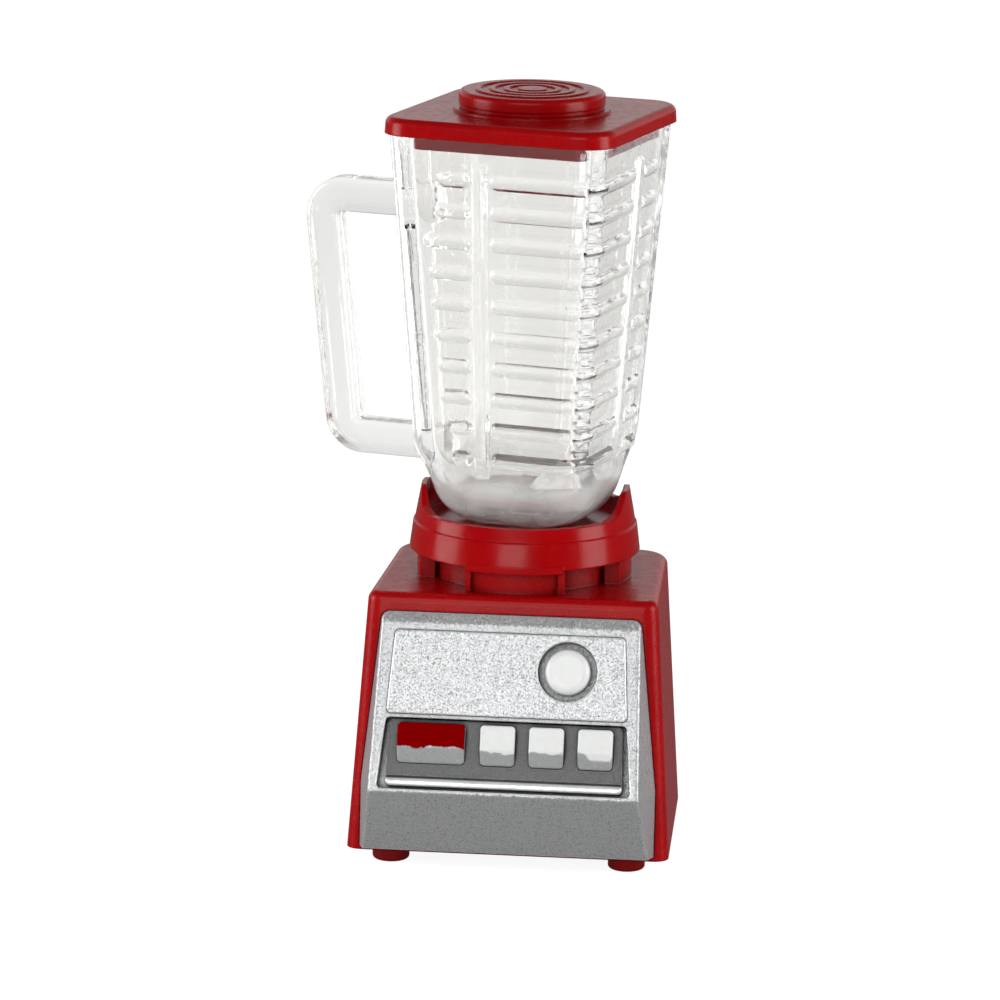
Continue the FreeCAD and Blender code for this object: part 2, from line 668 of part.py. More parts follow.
def make_housing():
    body = new_body("housing_shell")
    outline = add_polygon(new_sketch(body, "shell_outline", "XY_Plane"), housing_outline(ZERO, ZERO))
    pad(body, "shell_block", outline, s.housing_height)
    draft(body, "shell_front_lean", s.front_lean, lambda normal: normal.y < -0.9)
    draft(body, "shell_back_lean", s.back_lean, lambda normal: normal.y > 0.9)
    draft(body, "shell_side_lean", s.side_lean, lambda normal: abs(normal.x) > 0.9)
    fillet(body, "shell_rear_corners", s.rear_corner, lambda e: upright(e) and e.Vertexes[0].Y > 0)
    fillet(body, "shell_front_corners", s.front_corner, lambda e: upright(e) and e.Vertexes[0].Y < 0)
    fillet(body, "shell_top_edge", s.top_edge, lambda e: highest(e, s.housing_height))
    hollow_height = s.housing_height - s.wall
    inner_low = new_sketch(body, "hollow_low", "XY_Plane")
    inner_high = new_sketch(body, "hollow_high", "XY_Plane", hollow_height)
    add_polygon(inner_low, housing_outline(ZERO, s.wall))
    add_polygon(inner_high, housing_outline(hollow_height, s.wall))
    loft(body, "SubtractiveLoft", "shell_hollow", [inner_low, inner_high])
    drum = new_sketch(body, "drum_circle", "XY_Plane", s.housing_height)
    pad(body, "drum", add_circle(drum, (ZERO, ZERO), s.drum_radius), s.lug_height - s.drum_gap)
    boss = new_sketch(body, "boss_circle", "XY_Plane", s.housing_height)
    pad(body, "boss", add_circle(boss, (ZERO, ZERO), s.boss_radius), s.boss_height)
    bore = new_sketch(body, "boss_bore", "XY_Plane", hollow_height)
    add_circle(bore, (ZERO, ZERO), s.boss_radius - s.boss_wall)
    pocket(body, "boss_hollow", bore, s.boss_height + s.wall - s.boss_wall, Reversed=True)
    fillet(body, "boss_edge", s.bezel_edge, lambda e: highest(e, s.housing_height + s.boss_height))
    posts = new_sketch(body, "post_circles", "XY_Plane", s.cover_thickness + s.fit_gap)
    for x, y in post_places():
        add_circle(posts, (x, y), s.post_radius)
    pad(body, "posts", posts, s.housing_height - s.cover_thickness - s.wall)
    pilots = new_sketch(body, "pilot_circles", "XY_Plane", s.cover_thickness)
    for x, y in post_places():
        add_circle(pilots, (x, y), s.screw_radius + s.peg_clearance)
    pocket(body, "pilots", pilots, s.screw_length + s.fit_gap, Reversed=True)
    place(body, ZERO, ZERO, rim)
    with_lugs = fuse("housing_with_lugs", [body] + make_lugs())
    opening = cut("housing_opened", with_lugs, make_opening())
    framed = fuse("housing_framed", [opening, make_seat()])
    return cut("housing", framed, make_screw_holes("seat_holes"))


def make_lugs():
    """Four short curved walls that carry the collar, each with a rib at both ends."""
    lugs = []
    sink = s.wall / 2
    for i in range(4):
        body = new_body("lug_%d" % i)
        ring = new_sketch(body, "lug_ring_%d" % i, "XY_Plane")
        add_circle(ring, (ZERO, ZERO), s.lug_outer)
        add_circle(ring, (ZERO, ZERO), s.lug_inner)
        pad(body, "lug_wall_%d" % i, ring, s.lug_height + sink)
        ribs = new_sketch(body, "lug_rib_ring_%d" % i, "XY_Plane")
        add_circle(ribs, (ZERO, ZERO), s.lug_outer + s.lug_rib_stand)
        add_circle(ribs, (ZERO, ZERO), s.lug_inner)
        pad(body, "lug_ribs_%d" % i, ribs, s.lug_height + sink)
        inner = s.lug_half_width - s.lug_rib
        far = s.lug_outer * 2
        keep = doc.addObject("Part::Box", "lug_keep_%d" % i)
        keep.setExpression("Length", (s.lug_half_width * 2).text)
        keep.setExpression("Width", far.text)
        keep.setExpression("Height", (s.lug_height + sink).text)
        place(keep, -s.lug_half_width, -far)
        trim = doc.addObject("Part::Box", "lug_trim_%d" % i)
        trim.setExpression("Length", (inner * 2).text)
        trim.setExpression("Width", far.text)
        trim.setExpression("Height", (s.lug_height + sink).text)
        place(trim, -inner, -far)
        core = cylinder("lug_core_%d" % i, s.lug_outer, s.lug_height + sink)
        arc = common("lug_arc_%d" % i, body, keep)
        shaved = cut("lug_shaved_%d" % i, arc, cut("lug_tool_%d" % i, trim, core))
        lugs.append(place(shaved, ZERO, ZERO, top - sink, Z, as_size(90 * i)))
    return lugs


def make_opening():
    """The cut in the front wall that the bezel stands in."""
    body = new_body("opening_cutter")
    outline = new_sketch(body, "opening_outline", "XY_Plane", -s.wall)
    gap = s.panel_gap
    add_polygon(outline, panel_outline(s.panel_low - gap, panel_height + gap, gap))
    pad(body, "opening_block", outline, s.wall * 2)
    fillet(body, "opening_corners", s.panel_corner + gap, upper_corner)
    return on_front(body)


def make_seat():
    """A frame behind the opening: the bezel is screwed to it from inside."""
    body = new_body("seat_frame")
    low = s.cover_thickness + s.seat_rise
    bite = s.wall / 2
    outline = new_sketch(body, "seat_outer", "XY_Plane", -s.wall)
    add_polygon(outline, panel_outline(low, panel_height + bite, bite))
    pad(body, "seat_block", outline, s.seat_depth, Reversed=True)
    window = new_sketch(body, "seat_inner", "XY_Plane", -s.wall)
    add_polygon(window, panel_outline(low + s.seat_lip, panel_height - s.seat_lip, -s.seat_lip))
    pocket(body, "seat_window", window, s.seat_depth)
    return on_front(body)


def panel_screw_places():
    high = panel_height - s.panel_screw_inset
    return ((-s.panel_screw_x, high), (s.panel_screw_x, high),
            (-low_screw_x, s.low_screw_height), (low_screw_x, s.low_screw_height))


def make_screw_holes(name):
    """Clearance holes on the panel screws' axes, through the frame and into the bezel."""
    body = new_body(name)
    holes = new_sketch(body, name + "_circles", "XY_Plane", -(s.wall + s.seat_depth * 2))
    for x, up in panel_screw_places():
        add_circle(holes, (x, up), s.small_screw_radius + s.peg_clearance)
    pad(body, name + "_pins", holes, s.wall + s.seat_depth * 2)
    return on_front(body)


def make_bezel_screws():
    head_back = s.wall + s.seat_depth + s.small_head_height
    body_list = []
    for i, (x, up) in enumerate(panel_screw_places()):
        body = new_body("bezel_screw_%d" % i)
        head = new_sketch(body, "bezel_head_%d" % i, "XY_Plane", -head_back)
        add_circle(head, (x, up), s.small_head_radius)
        pad(body, "bezel_head_pad_%d" % i, head, s.small_head_height)
        shank = new_sketch(body, "bezel_shank_%d" % i, "XY_Plane", -(s.wall + s.seat_depth))
        add_circle(shank, (x, up), s.small_screw_radius)
        pad(body, "bezel_shank_pad_%d" % i, shank, s.seat_depth + s.wall - s.fit_gap)
        body_list.append(on_front(body))
    return group("bezel_screws", body_list)


# ---------------------------------------------------------------- control panel

def front_profile():
    """What is cut away in front of the bezel: up the front face (x) and out of it (y)."""
    over = s.wall
    far = s.nose_depth * THROUGH
    return ((s.panel_low - over, s.apron_foot_depth - over * apron_steepness),
            (nose_height, s.nose_depth), (panel_height - s.panel_top_bevel, s.panel_top_depth),
            (panel_height + over, -s.panel_top_depth * over / s.panel_top_bevel),
            (panel_height + over, far), (s.panel_low - over, far))


def cavity_profile():
    """The space inside the bezel, behind its apron and its sloping face."""
    face_back = s.face_wall / cos(face_slope)
    apron_back = s.apron_wall / cos(atan(apron_steepness))
    apron_line = s.apron_foot_depth - s.panel_low * apron_steepness - apron_back
    face_line = s.nose_depth + nose_height * face_steepness - face_back
    foot = s.panel_low + s.apron_wall
    meet = (face_line - apron_line) / (face_steepness + apron_steepness)
    return ((foot, -s.wall), (foot, apron_line + foot * apron_steepness),
            (meet, apron_line + meet * apron_steepness),
            ((face_line + s.wall) / face_steepness, -s.wall))


def upper_corner(edge):
    """The corners of the bezel's outline at its top, through its whole depth."""
    return upright(edge) and all(vertex.Y > (panel_height - s.wall).number for vertex in edge.Vertexes)


def make_bezel():
    body = new_body("bezel_block")
    edge = panel_outline(s.panel_low, panel_height, ZERO)
    outline = add_polygon(new_sketch(body, "bezel_outline", "XY_Plane"), edge)
    pad(body, "bezel_front", outline, s.nose_depth + s.wall)
    draft(body, "bezel_side_draft", s.panel_draft, lambda normal: abs(normal.x) > 0.9)
    back = add_polygon(new_sketch(body, "bezel_back_outline", "XY_Plane"), edge)
    pad(body, "bezel_back", back, s.wall, Reversed=True)
    fillet(body, "bezel_corners", s.panel_corner, upper_corner)
    slope = add_polygon(new_sketch(body, "bezel_slope", "YZ_Plane"), front_profile())
    pocket(body, "bezel_face", slope, panel_half_width * THROUGH, Midplane=True)
    fillet(body, "bezel_rounding", s.bezel_edge, bezel_outer_edge)
    inside = add_polygon(new_sketch(body, "bezel_inside", "YZ_Plane"), cavity_profile())
    pocket(body, "bezel_cavity", inside, bezel_cavity_half_width * 2, Midplane=True)
    on_front(body)
    posts = make_carrier_posts()
    whole = fuse("bezel_with_posts", [body, posts])
    tools = fuse("bezel_tools", make_face_tools() + [make_screw_holes("bezel_holes")])
    return cut("bezel", whole, tools)


def bezel_outer_edge(edge):
    """Edges in front of the housing: round the face, the apron's edge and its sides."""
    low = min(vertex.Z for vertex in edge.Vertexes)
    return low > s.panel_top_depth.number - SAME and edge.CenterOfMass.y > s.panel_low.number + SAME


def make_carrier_posts():
    body = new_body("carrier_posts")
    circles = new_sketch(body, "carrier_post_circles", "XY_Plane", -carrier_front)
    for side in (-1, 1):
        add_circle(circles, (s.carrier_post_x * side, carrier_post_up), s.carrier_post_radius)
    pad(body, "carrier_post_pads", circles, carrier_front - s.face_wall + s.fit_gap)
    pilots = new_sketch(body, "carrier_pilots", "XY_Plane", -carrier_front)
    for side in (-1, 1):
        spot = (s.carrier_post_x * side, carrier_post_up)
        add_circle(pilots, spot, s.small_screw_radius + s.peg_clearance)
    pocket(body, "carrier_pilot_holes", pilots, carrier_front - s.face_wall, Reversed=True)
    return on_face(body)


def face_prism(name, points, front, back, corner=None):
    """A block on the sloping face between two depths, negative depths being inside it."""
    body = new_body(name)
    outline = add_polygon(new_sketch(body, name + "_outline", "XY_Plane", back), points)
    pad(body, name + "_pad", outline, front - back)
    if corner is not None:
        fillet(body, name + "_corners", corner, upright)
    return on_face(body)


def face_cylinder(name, x, up, radius, front, back):
    body = new_body(name)
    add_circle(new_sketch(body, name + "_circle", "XY_Plane", back), (x, up), radius)
    pad(body, name + "_pad", body.Group[0], front - back)
    return on_face(body)


def make_face_tools():
    proud = s.window_depth
    plate = trapezoid(label_low, label_high, label_half_width, s.label_side_lean)
    label = face_prism("label_recess", plate, proud, -s.label_depth, s.label_corner)
    frame = trapezoid(s.window_low, s.window_high, window_half_width, s.window_side_lean)
    window = face_prism("window_recess", frame, proud, -s.window_depth, s.label_corner)
    through = key_rectangle(ZERO, ledge_half_width * 2, ledge_low, ledge_high)
    ledge = face_prism("ledge_hole", through, ZERO, -s.face_wall * 2)
    ring = face_cylinder("ring_groove", s.disc_x, disc_up, s.ring_radius, proud, -s.ring_depth)
    pin = face_cylinder("disc_pin_hole", s.disc_x, disc_up, s.peg_radius + s.peg_clearance,
                        ZERO, -s.face_wall * 2)
    return [label, window, ledge, ring, pin]


def make_label_plate():
    gap = s.label_gap
    half = label_half_width - gap
    points = trapezoid(label_low + gap, label_high - gap, half, s.label_side_lean)
    body = new_body("label_plate")
    outline = add_polygon(new_sketch(body, "label_outline", "XY_Plane", -s.label_depth), points)
    pad(body, "label_pad", outline, s.label_thickness)
    fillet(body, "label_corners", s.label_corner, upright)
    hole = new_sketch(body, "label_hole", "XY_Plane", -s.label_depth)
    add_circle(hole, (s.disc_x, disc_up), s.ring_radius)
    pocket(body, "label_round_hole", hole, s.label_thickness, Reversed=True)
    return on_face(body)


def make_disc():
    body = new_body("panel_disc")
    face = new_sketch(body, "disc_circle", "XY_Plane", -s.ring_depth)
    add_circle(face, (s.disc_x, disc_up), s.disc_radius)
    pad(body, "disc_pad", face, s.ring_depth + s.disc_stand)
    fillet(body, "disc_rounding", s.disc_edge, lambda e: highest(e, s.disc_stand))
    pin = new_sketch(body, "disc_pin", "XY_Plane", -s.ring_depth)
    add_circle(pin, (s.disc_x, disc_up), s.peg_radius)
    pad(body, "disc_pin_pad", pin, s.face_wall - s.ring_depth, Reversed=True)
    return on_face(body)


def key_places():
    """Name, middle and width of each key, from the left."""
    keys = [("stop_key", stop_key_x, stop_key_width)]
    for i in range(SPEED_KEYS):
        keys.append(("speed_key_%d" % (i + 1), speed_key_x + speed_key_pitch * i, s.speed_key_width))
    return keys


def key_rectangle(x, width, low, high):
    half = width / 2
    return ((x - half, low), (x + half, low), (x + half, high), (x - half, high))


def make_tray():
    body = new_body("key_tray")
    low = s.window_low + s.tray_low_gap
    high = s.window_high - s.tray_high_gap
    half = tray_half_width
    outline = new_sketch(body, "tray_outline", "XY_Plane", -s.window_depth)
    add_polygon(outline, trapezoid(low, high, half, s.tray_side_lean))
    pad(body, "tray_plate", outline, s.window_depth - s.tray_face + s.tray_lip_rise)
    fillet(body, "tray_corners", s.label_corner, upright)
    scoop = new_sketch(body, "tray_scoop", "YZ_Plane")
    floor = -s.tray_face
    crest = floor + s.tray_lip_rise
    over = crest + s.tray_lip_rise
    ridge = low + s.tray_ridge
    past = high + s.tray_lip
    add_polygon(scoop, ((low + s.tray_lip, floor), (past, floor), (past, over),
                        (ridge, over), (ridge, crest)))
    pocket(body, "tray_face", scoop, half * THROUGH, Midplane=True)
    fillet(body, "tray_lip_rounding", s.tray_lip_round, lambda e: highest(e, crest))
    holes = new_sketch(body, "tray_key_holes", "XY_Plane", -s.window_depth)
    for _, x, width in key_places():
        gap = s.key_gap
        add_polygon(holes, key_rectangle(x, width + gap * 2, key_low - gap, key_high + gap))
    pocket(body, "tray_holes", holes, s.window_depth, Reversed=True)
    reach = (key_row_half + s.key_gap).number + SAME
    fillet(body, "tray_hole_corners", s.key_corner + s.key_gap,
           lambda e: upright(e) and abs(e.CenterOfMass.x) < reach)
    return on_face(body)


def make_key(label, x, width):
    """A key: a sloping cap, a flange behind the tray and a stem that its sleeve is on."""
    body = new_body(label)
    profile = new_sketch(body, label + "_profile", "YZ_Plane", x)
    floor = -s.tray_face
    face = floor + s.key_rise
    add_polygon(profile, ((key_low, -stop_back), (key_high, -stop_back), (key_high, face),
                          (key_break, face), (key_low, floor + s.key_foot_rise)))
    pad(body, label + "_cap", profile, width, Midplane=True)
    fillet(body, label + "_corners", s.key_corner, upright)
    lowest = floor + s.key_foot_rise
    fillet(body, label + "_rounding", s.key_edge,
           lambda e: min(v.Z for v in e.Vertexes) > lowest.number - SAME)
    reach = s.key_flange
    flange = new_sketch(body, label + "_flange", "XY_Plane", -flange_back)
    add_polygon(flange, key_rectangle(x, width + reach * 2, key_low - reach, key_high + reach))
    pad(body, label + "_flange_pad", flange, s.key_flange_thickness)
    stem = new_sketch(body, label + "_stem", "XY_Plane", -flange_back)
    add_circle(stem, (x, (key_low + key_high) / 2), s.stem_radius)
    pad(body, label + "_stem_pad", stem, carrier_back - flange_back + s.peg_clearance, Reversed=True)
    return on_face(body)


def make_sleeve(label, x):
    """A rubber sleeve round a key's stem, which pushes the key out again."""
    body = new_body(label)
    ring = new_sketch(body, label + "_ring", "XY_Plane", s.fit_gap - carrier_front)
    middle = (x, (key_low + key_high) / 2)
    add_circle(ring, middle, s.sleeve_radius)
    add_circle(ring, middle, s.sleeve_bore)
    pad(body, label + "_wall", ring, s.sleeve_pressed + s.key_travel - s.fit_gap * 2)
    return on_face(body)


def make_carrier():
    body = new_body("key_carrier")
    half = carrier_half_width
    outline = new_sketch(body, "carrier_outline", "XY_Plane", -carrier_back)
    add_polygon(outline, ((-half, carrier_low), (half, carrier_low),
                          (half, carrier_high), (-half, carrier_high)))
    pad(body, "carrier_plate", outline, s.carrier_thickness)
    fillet(body, "carrier_corners", s.label_corner, upright)
    holes = new_sketch(body, "carrier_holes", "XY_Plane", -carrier_back)
    for _, x, _ in key_places():
        add_circle(holes, (x, (key_low + key_high) / 2), s.stem_radius + s.peg_clearance)
    for side in (-1, 1):
        spot = (s.carrier_post_x * side, carrier_post_up)
        add_circle(holes, spot, s.small_screw_radius + s.peg_clearance)
    pocket(body, "carrier_hole_cuts", holes, s.carrier_thickness, Reversed=True)
    return on_face(body)


def make_carrier_screws():
    screws = []
    for i, side in enumerate((-1, 1)):
        body = new_body("carrier_screw_%d" % i)
        spot = (s.carrier_post_x * side, carrier_post_up)
        head = new_sketch(body, "carrier_head_%d" % i, "XY_Plane", -(carrier_back + s.small_head_height))
        add_circle(head, spot, s.small_head_radius)
        pad(body, "carrier_head_pad_%d" % i, head, s.small_head_height)
        shank = new_sketch(body, "carrier_shank_%d" % i, "XY_Plane", -carrier_back)
        length = s.carrier_thickness + carrier_front - s.face_wall - s.fit_gap
        pad(body, "carrier_shank_pad_%d" % i, add_circle(shank, spot, s.small_screw_radius), length)
        screws.append(on_face(body))
    return group("carrier_screws", screws)


# ---------------------------------------------------------------- collar

def make_collar():
    """A ring that drops over the boss, with a pocket for the jar and two ears."""
    body = new_body("collar_ring")
    bore = s.boss_radius + s.collar_bore_gap
    foot = s.collar_band_radius - s.collar_band_step
    foot_height = s.collar_band_height + s.collar_band_step
    steep = (foot - s.ear_tip_radius) / (s.ear_height - foot_height)
    wall_top = foot - (s.collar_height - foot_height) * steep
    profile = new_sketch(body, "collar_profile", "XZ_Plane")
    add_polygon(profile, ((bore, ZERO), (s.collar_bottom_radius, ZERO),
                          (s.collar_band_radius, s.collar_band_height), (foot, foot_height),
                          (wall_top, s.collar_height),
                          (s.collar_pocket_radius, s.collar_height), (s.collar_pocket_radius, s.collar_seat),
                          (s.collar_hole_radius, s.collar_seat),
                          (s.collar_hole_radius, s.collar_seat - s.collar_floor),
                          (bore, s.collar_seat - s.collar_floor)))
    revolve(body, "collar_turned", profile)
    place(body, ZERO, ZERO, collar_z)
    ears = new_body("collar_ears")
    ear = new_sketch(ears, "ear_profile", "XZ_Plane")
    add_polygon(ear, ((s.collar_pocket_radius, s.collar_seat), (foot, foot_height),
                      (s.ear_tip_radius, s.ear_height), (s.ear_inner_radius, s.ear_height)))
    revolve(ears, "ear_wall", ear)
    place(ears, ZERO, ZERO, collar_z)
    shape = new_body("ear_shape")
    side = new_sketch(shape, "ear_side", "YZ_Plane")
    foot_half = s.ear_half_width
    tip = s.ear_tip_half_width
    shoulder = s.ear_shoulder_half_width
    shoulder_height = s.collar_height + s.ear_shoulder_rise
    add_polygon(side, ((-foot_half, s.collar_band_height), (foot_half, s.collar_band_height),
                       (foot_half, s.collar_height), (shoulder, shoulder_height), (tip, s.ear_height),
                       (-tip, s.ear_height), (-shoulder, shoulder_height), (-foot_half, s.collar_height)))
    pad(shape, "ear_block", side, s.collar_bottom_radius * 3, Midplane=True)
    fillet(shape, "ear_tips", s.ear_round, lambda e: highest(e, s.ear_height))
    place(shape, ZERO, ZERO, collar_z)
    cut_ears = common("ears", ears, shape)
    tab = new_body("collar_tab")
    arc = new_sketch(tab, "tab_ring", "XY_Plane")
    add_circle(arc, (ZERO, ZERO), s.collar_bottom_radius)
    add_circle(arc, (ZERO, ZERO), s.collar_bottom_radius - s.tab_thickness)
    pad(tab, "tab_wall", arc, s.tab_drop + s.foot_edge)
    place(tab, ZERO, ZERO, collar_z - s.tab_drop)
    keep = doc.addObject("Part::Box", "tab_keep")
    keep.setExpression("Length", (s.tab_half_width * 2).text)
    keep.setExpression("Width", s.collar_bottom_radius.text)
    keep.setExpression("Height", (s.tab_drop + s.foot_edge).text)
    place(keep, -s.tab_half_width, -s.collar_bottom_radius, collar_z - s.tab_drop)
    return fuse("collar", [body, cut_ears, common("tab", tab, keep)])


# ---------------------------------------------------------------- jar, lid and cap

def jar_half(height):
    """Half width of the jar's outside at a height above its foot."""
    return s.jar_top_half - (s.jar_height - height) * tan(s.jar_lean)


def foot_stages(start, radius, corner):
    """Height, inset and corner of the sections round a quarter turn, from a flat floor up."""
    stages = []
    for i in range(FOOT_STEPS + 1):
        turn = math.pi / 2 * i / FOOT_STEPS
        inset = radius * (1 - math.sin(turn))
        stages.append((start + radius * (1 - math.cos(turn)), inset, corner - inset))
    return stages


def loft_squares(body, name, wall, stages):
    """A loft through rounded squares, a wall inside the jar's outline."""
    sections = []
    for i, (height, inset, corner) in enumerate(stages):
        sketch = new_sketch(body, "%s_section_%d" % (name, i), "XY_Plane", height)
        sections.append(add_rounded_square(sketch, jar_half(height) - wall - inset, corner))
    loft(body, "AdditiveLoft", name, sections)
    place(body, ZERO, ZERO, jar_z, Z, s.jar_yaw)


def make_jar():
    body = new_body("jar_outside")
    stages = foot_stages(ZERO, s.jar_foot_edge, s.jar_foot_corner)
    stages += [(s.jar_foot_height, ZERO, s.jar_foot_corner), (s.jar_shoulder_height, ZERO, s.jar_corner),
               (s.jar_height, ZERO, s.jar_corner)]
    loft_squares(body, "jar_block", ZERO, stages)
    hollow = new_body("jar_inside")
    corner_height = s.jar_shoulder_height + s.jar_floor / 2
    stages = foot_stages(s.jar_floor, s.jar_inner_edge, s.jar_inner_foot_corner)
    stages += [(corner_height, ZERO, s.jar_inner_corner),
               (s.jar_height + s.jar_wall, ZERO, s.jar_inner_corner)]
    loft_squares(hollow, "jar_hollow", s.jar_wall, stages)
    outside = fuse("jar_with_handle", [body, make_handle()] + make_bands())
    return cut("jar", outside, hollow)


def make_handle():
    """A closed loop on the jar's left face, with its outer bar parallel to that face."""
    body = new_body("handle")
    thick = s.handle_thickness
    bury = s.jar_wall / 2
    low_in = jar_half(s.handle_low) - bury
    high_in = jar_half(s.handle_high) - bury
    slant = (s.handle_reach - s.handle_foot_reach) / (s.handle_high - s.handle_low)
    outer = new_sketch(body, "handle_outer", "XZ_Plane")
    add_polygon(outer, ((-low_in, s.handle_low), (-high_in, s.handle_high),
                        (-s.handle_reach, s.handle_high), (-s.handle_foot_reach, s.handle_low)))
    pad(body, "handle_block", outer, s.handle_width, Midplane=True)
    fillet(body, "handle_corners", s.handle_corner,
           lambda e: across_handle(e) and e.Vertexes[0].X < -high_in.number - AWAY)
    inner = new_sketch(body, "handle_inner", "XZ_Plane")
    low = s.handle_low + thick
    high = s.handle_high - thick
    far_low = s.handle_foot_reach + thick * slant - thick
    far_high = s.handle_reach - thick * slant - thick
    near_low = jar_half(low) - s.jar_wall * GAP_BURY
    near_high = jar_half(high) - s.jar_wall * GAP_BURY
    add_polygon(inner, ((-near_low, low), (-near_high, high), (-far_high, high), (-far_low, low)))
    pocket(body, "handle_gap", inner, s.handle_width * 2, Midplane=True)
    fillet(body, "handle_inner_corners", s.handle_inner_corner,
           lambda e: inner_corner(e, near_high, far_high, far_low))
    half = s.handle_width / 2
    chamfer(body, "handle_bevels", s.handle_bevel, lambda e: handle_rim(e, half, high_in))
    return place(body, ZERO, ZERO, jar_z, Z, s.jar_yaw)


def across_handle(edge):
    return abs(edge.Vertexes[0].Y - edge.Vertexes[-1].Y) > ACROSS


def inner_corner(edge, near_high, far_high, far_low):
    """The gap's corners at the outer bar: straight edges across the handle."""
    first, last = edge.Vertexes[0].Point, edge.Vertexes[-1].Point
    straight = across_handle(edge) and abs(first.x - last.x) < SAME
    at_bar = -far_high.number - SAME < first.x < -far_low.number + SAME
    return straight and at_bar and first.x < -near_high.number - AWAY


def handle_rim(edge, half, high_in):
    """Edges of the two side faces of the loop, away from the jar."""
    flat = all(abs(abs(v.Y) - half.number) < SAME for v in edge.Vertexes)
    same = abs(edge.Vertexes[0].Y - edge.Vertexes[-1].Y) < SAME
    middle = edge.CenterOfMass
    return flat and same and middle.x < -high_in.number - AWAY


def make_bands():
    """A raised band up each jar face, to one side of its middle."""
    bands = []
    for i, side in enumerate((1, -1, 1, -1)):
        body = new_body("band_%d" % i)
        low = s.band_low
        high = s.jar_height - s.band_top_gap
        sink = s.jar_wall / 2
        # a sketch on the XZ plane is moved towards -Y by a positive offset
        outline = new_sketch(body, "band_side_%d" % i, "XZ_Plane", s.band_offset * -side)
        add_polygon(outline, ((jar_half(low) - sink, low), (jar_half(low) + s.band_rise, low),
                              (jar_half(high) + s.band_rise, high), (jar_half(high) - sink, high)))
        pad(body, "band_pad_%d" % i, outline, s.band_half_width * 2, Midplane=True)
        bands.append(place(body, ZERO, ZERO, jar_z, Z, s.jar_yaw + 90 * i))
    return bands


def make_lid():
    body = new_body("lid")
    plate = new_sketch(body, "lid_plate", "XY_Plane")
    add_rounded_square(plate, s.lid_half, s.lid_corner)
    pad(body, "lid_pad", plate, s.lid_height, TaperAngle=-s.lid_draft)
    fillet(body, "lid_rounding", s.lid_edge, lambda e: highest(e, s.lid_height))
    plug = new_sketch(body, "lid_plug", "XY_Plane")
    mouth_half = s.jar_top_half - s.plug_depth * tan(s.jar_lean) - s.jar_wall
    add_rounded_square(plug, mouth_half - s.plug_gap, s.plug_corner)
    pad(body, "lid_plug_pad", plug, s.plug_depth, Reversed=True)
    ring = new_sketch(body, "lid_ring", "XY_Plane", s.lid_height)
    pad(body, "lid_ring_pad", add_circle(ring, (ZERO, ZERO), s.lid_ring_radius), s.lid_ring_height)
    hole = new_sketch(body, "lid_hole", "XY_Plane", -s.plug_depth)
    add_circle(hole, (ZERO, ZERO), s.lid_hole_radius)
    pocket(body, "lid_bore", hole, s.plug_depth + s.lid_height + s.lid_ring_height, Reversed=True)
    return place(body, ZERO, ZERO, mouth_z, Z, s.jar_yaw)


def make_cap():
    body = new_body("fill_cap")
    neck = add_circle(new_sketch(body, "cap_neck", "XY_Plane"), (ZERO, ZERO), s.cap_neck_radius)
    pad(body, "cap_neck_pad", neck, s.cap_neck_height)
    disc = new_sketch(body, "cap_disc", "XY_Plane", s.cap_neck_height)
    pad(body, "cap_disc_pad", add_circle(disc, (ZERO, ZERO), s.cap_radius), s.cap_thickness)
    fillet(body, "cap_rounding", s.cap_edge, lambda e: highest(e, s.cap_neck_height + s.cap_thickness))
    plug = new_sketch(body, "cap_plug", "XY_Plane")
    add_circle(plug, (ZERO, ZERO), s.lid_hole_radius - s.cap_plug_gap)
    pad(body, "cap_plug_pad", plug, s.cap_plug_depth, Reversed=True)
    face = s.cap_neck_height + s.cap_thickness
    rings = new_sketch(body, "cap_rings", "XY_Plane", face)
    add_circle(rings, (ZERO, ZERO), s.cap_middle_radius)
    for i in range(CAP_RINGS):
        inner = s.cap_middle_radius + s.cap_ring_pitch * (i + 1) - s.cap_ring_width
        add_circle(rings, (ZERO, ZERO), inner)
        add_circle(rings, (ZERO, ZERO), inner + s.cap_ring_width)
    pad(body, "cap_ring_pads", rings, s.cap_ring_rise)
    return place(body, ZERO, ZERO, cap_seat, Z, s.jar_yaw)


# ---------------------------------------------------------------- assembly and export

def make_all():
    parts = {"housing": make_housing(), "bottom_cover": make_bottom_cover()}
    for side, y, where in foot_places():
        parts["foot_" + where] = make_foot("foot_" + where, side, y)
    parts["cover_screws"] = make_cover_screws()
    parts["bezel"] = make_bezel()
    parts["bezel_screws"] = make_bezel_screws()
    parts["label_plate"] = make_label_plate()
    parts["panel_disc"] = make_disc()
    parts["key_tray"] = make_tray()
    for name, x, width in key_places():
        parts[name] = make_key(name, x, width)
        parts[name + "_sleeve"] = make_sleeve(name + "_sleeve", x)
    parts["key_carrier"] = make_carrier()
    parts["carrier_screws"] = make_carrier_screws()
    parts["collar"] = make_collar()
    parts["jar"] = make_jar()
    parts["lid"] = make_lid()
    parts["fill_cap"] = make_cap()
    return parts


def check_document(parts):
    """Stop before anything is written if an object failed or a shape is broken."""
    for item in doc.Objects:
        for word in ("Invalid", "Error"):
            if word in item.State:
                raise RuntimeError("%s is %s" % (item.Name, item.State))
    for name, item in parts.items():
        shape = item.Shape
        if shape.isNull() or not shape.isValid() or not shape.Solids:
            raise RuntimeError("%s has no sound shape" % name)


parts = make_all()
doc.recompute()
check_document(parts)
os.makedirs("parts", exist_ok=True)
for name, item in parts.items():
    item.Label = name
    item.Shape.exportStep(os.path.join("parts", name + ".step"))
    box = item.Shape.BoundBox
    print("%-22s solids %d volume %9.3f  x %7.2f %7.2f  y %7.2f %7.2f  z %6.2f %6.2f" % (
        name, len(item.Shape.Solids), item.Shape.Volume,
        box.XMin, box.XMax, box.YMin, box.YMax, box.ZMin, box.ZMax))
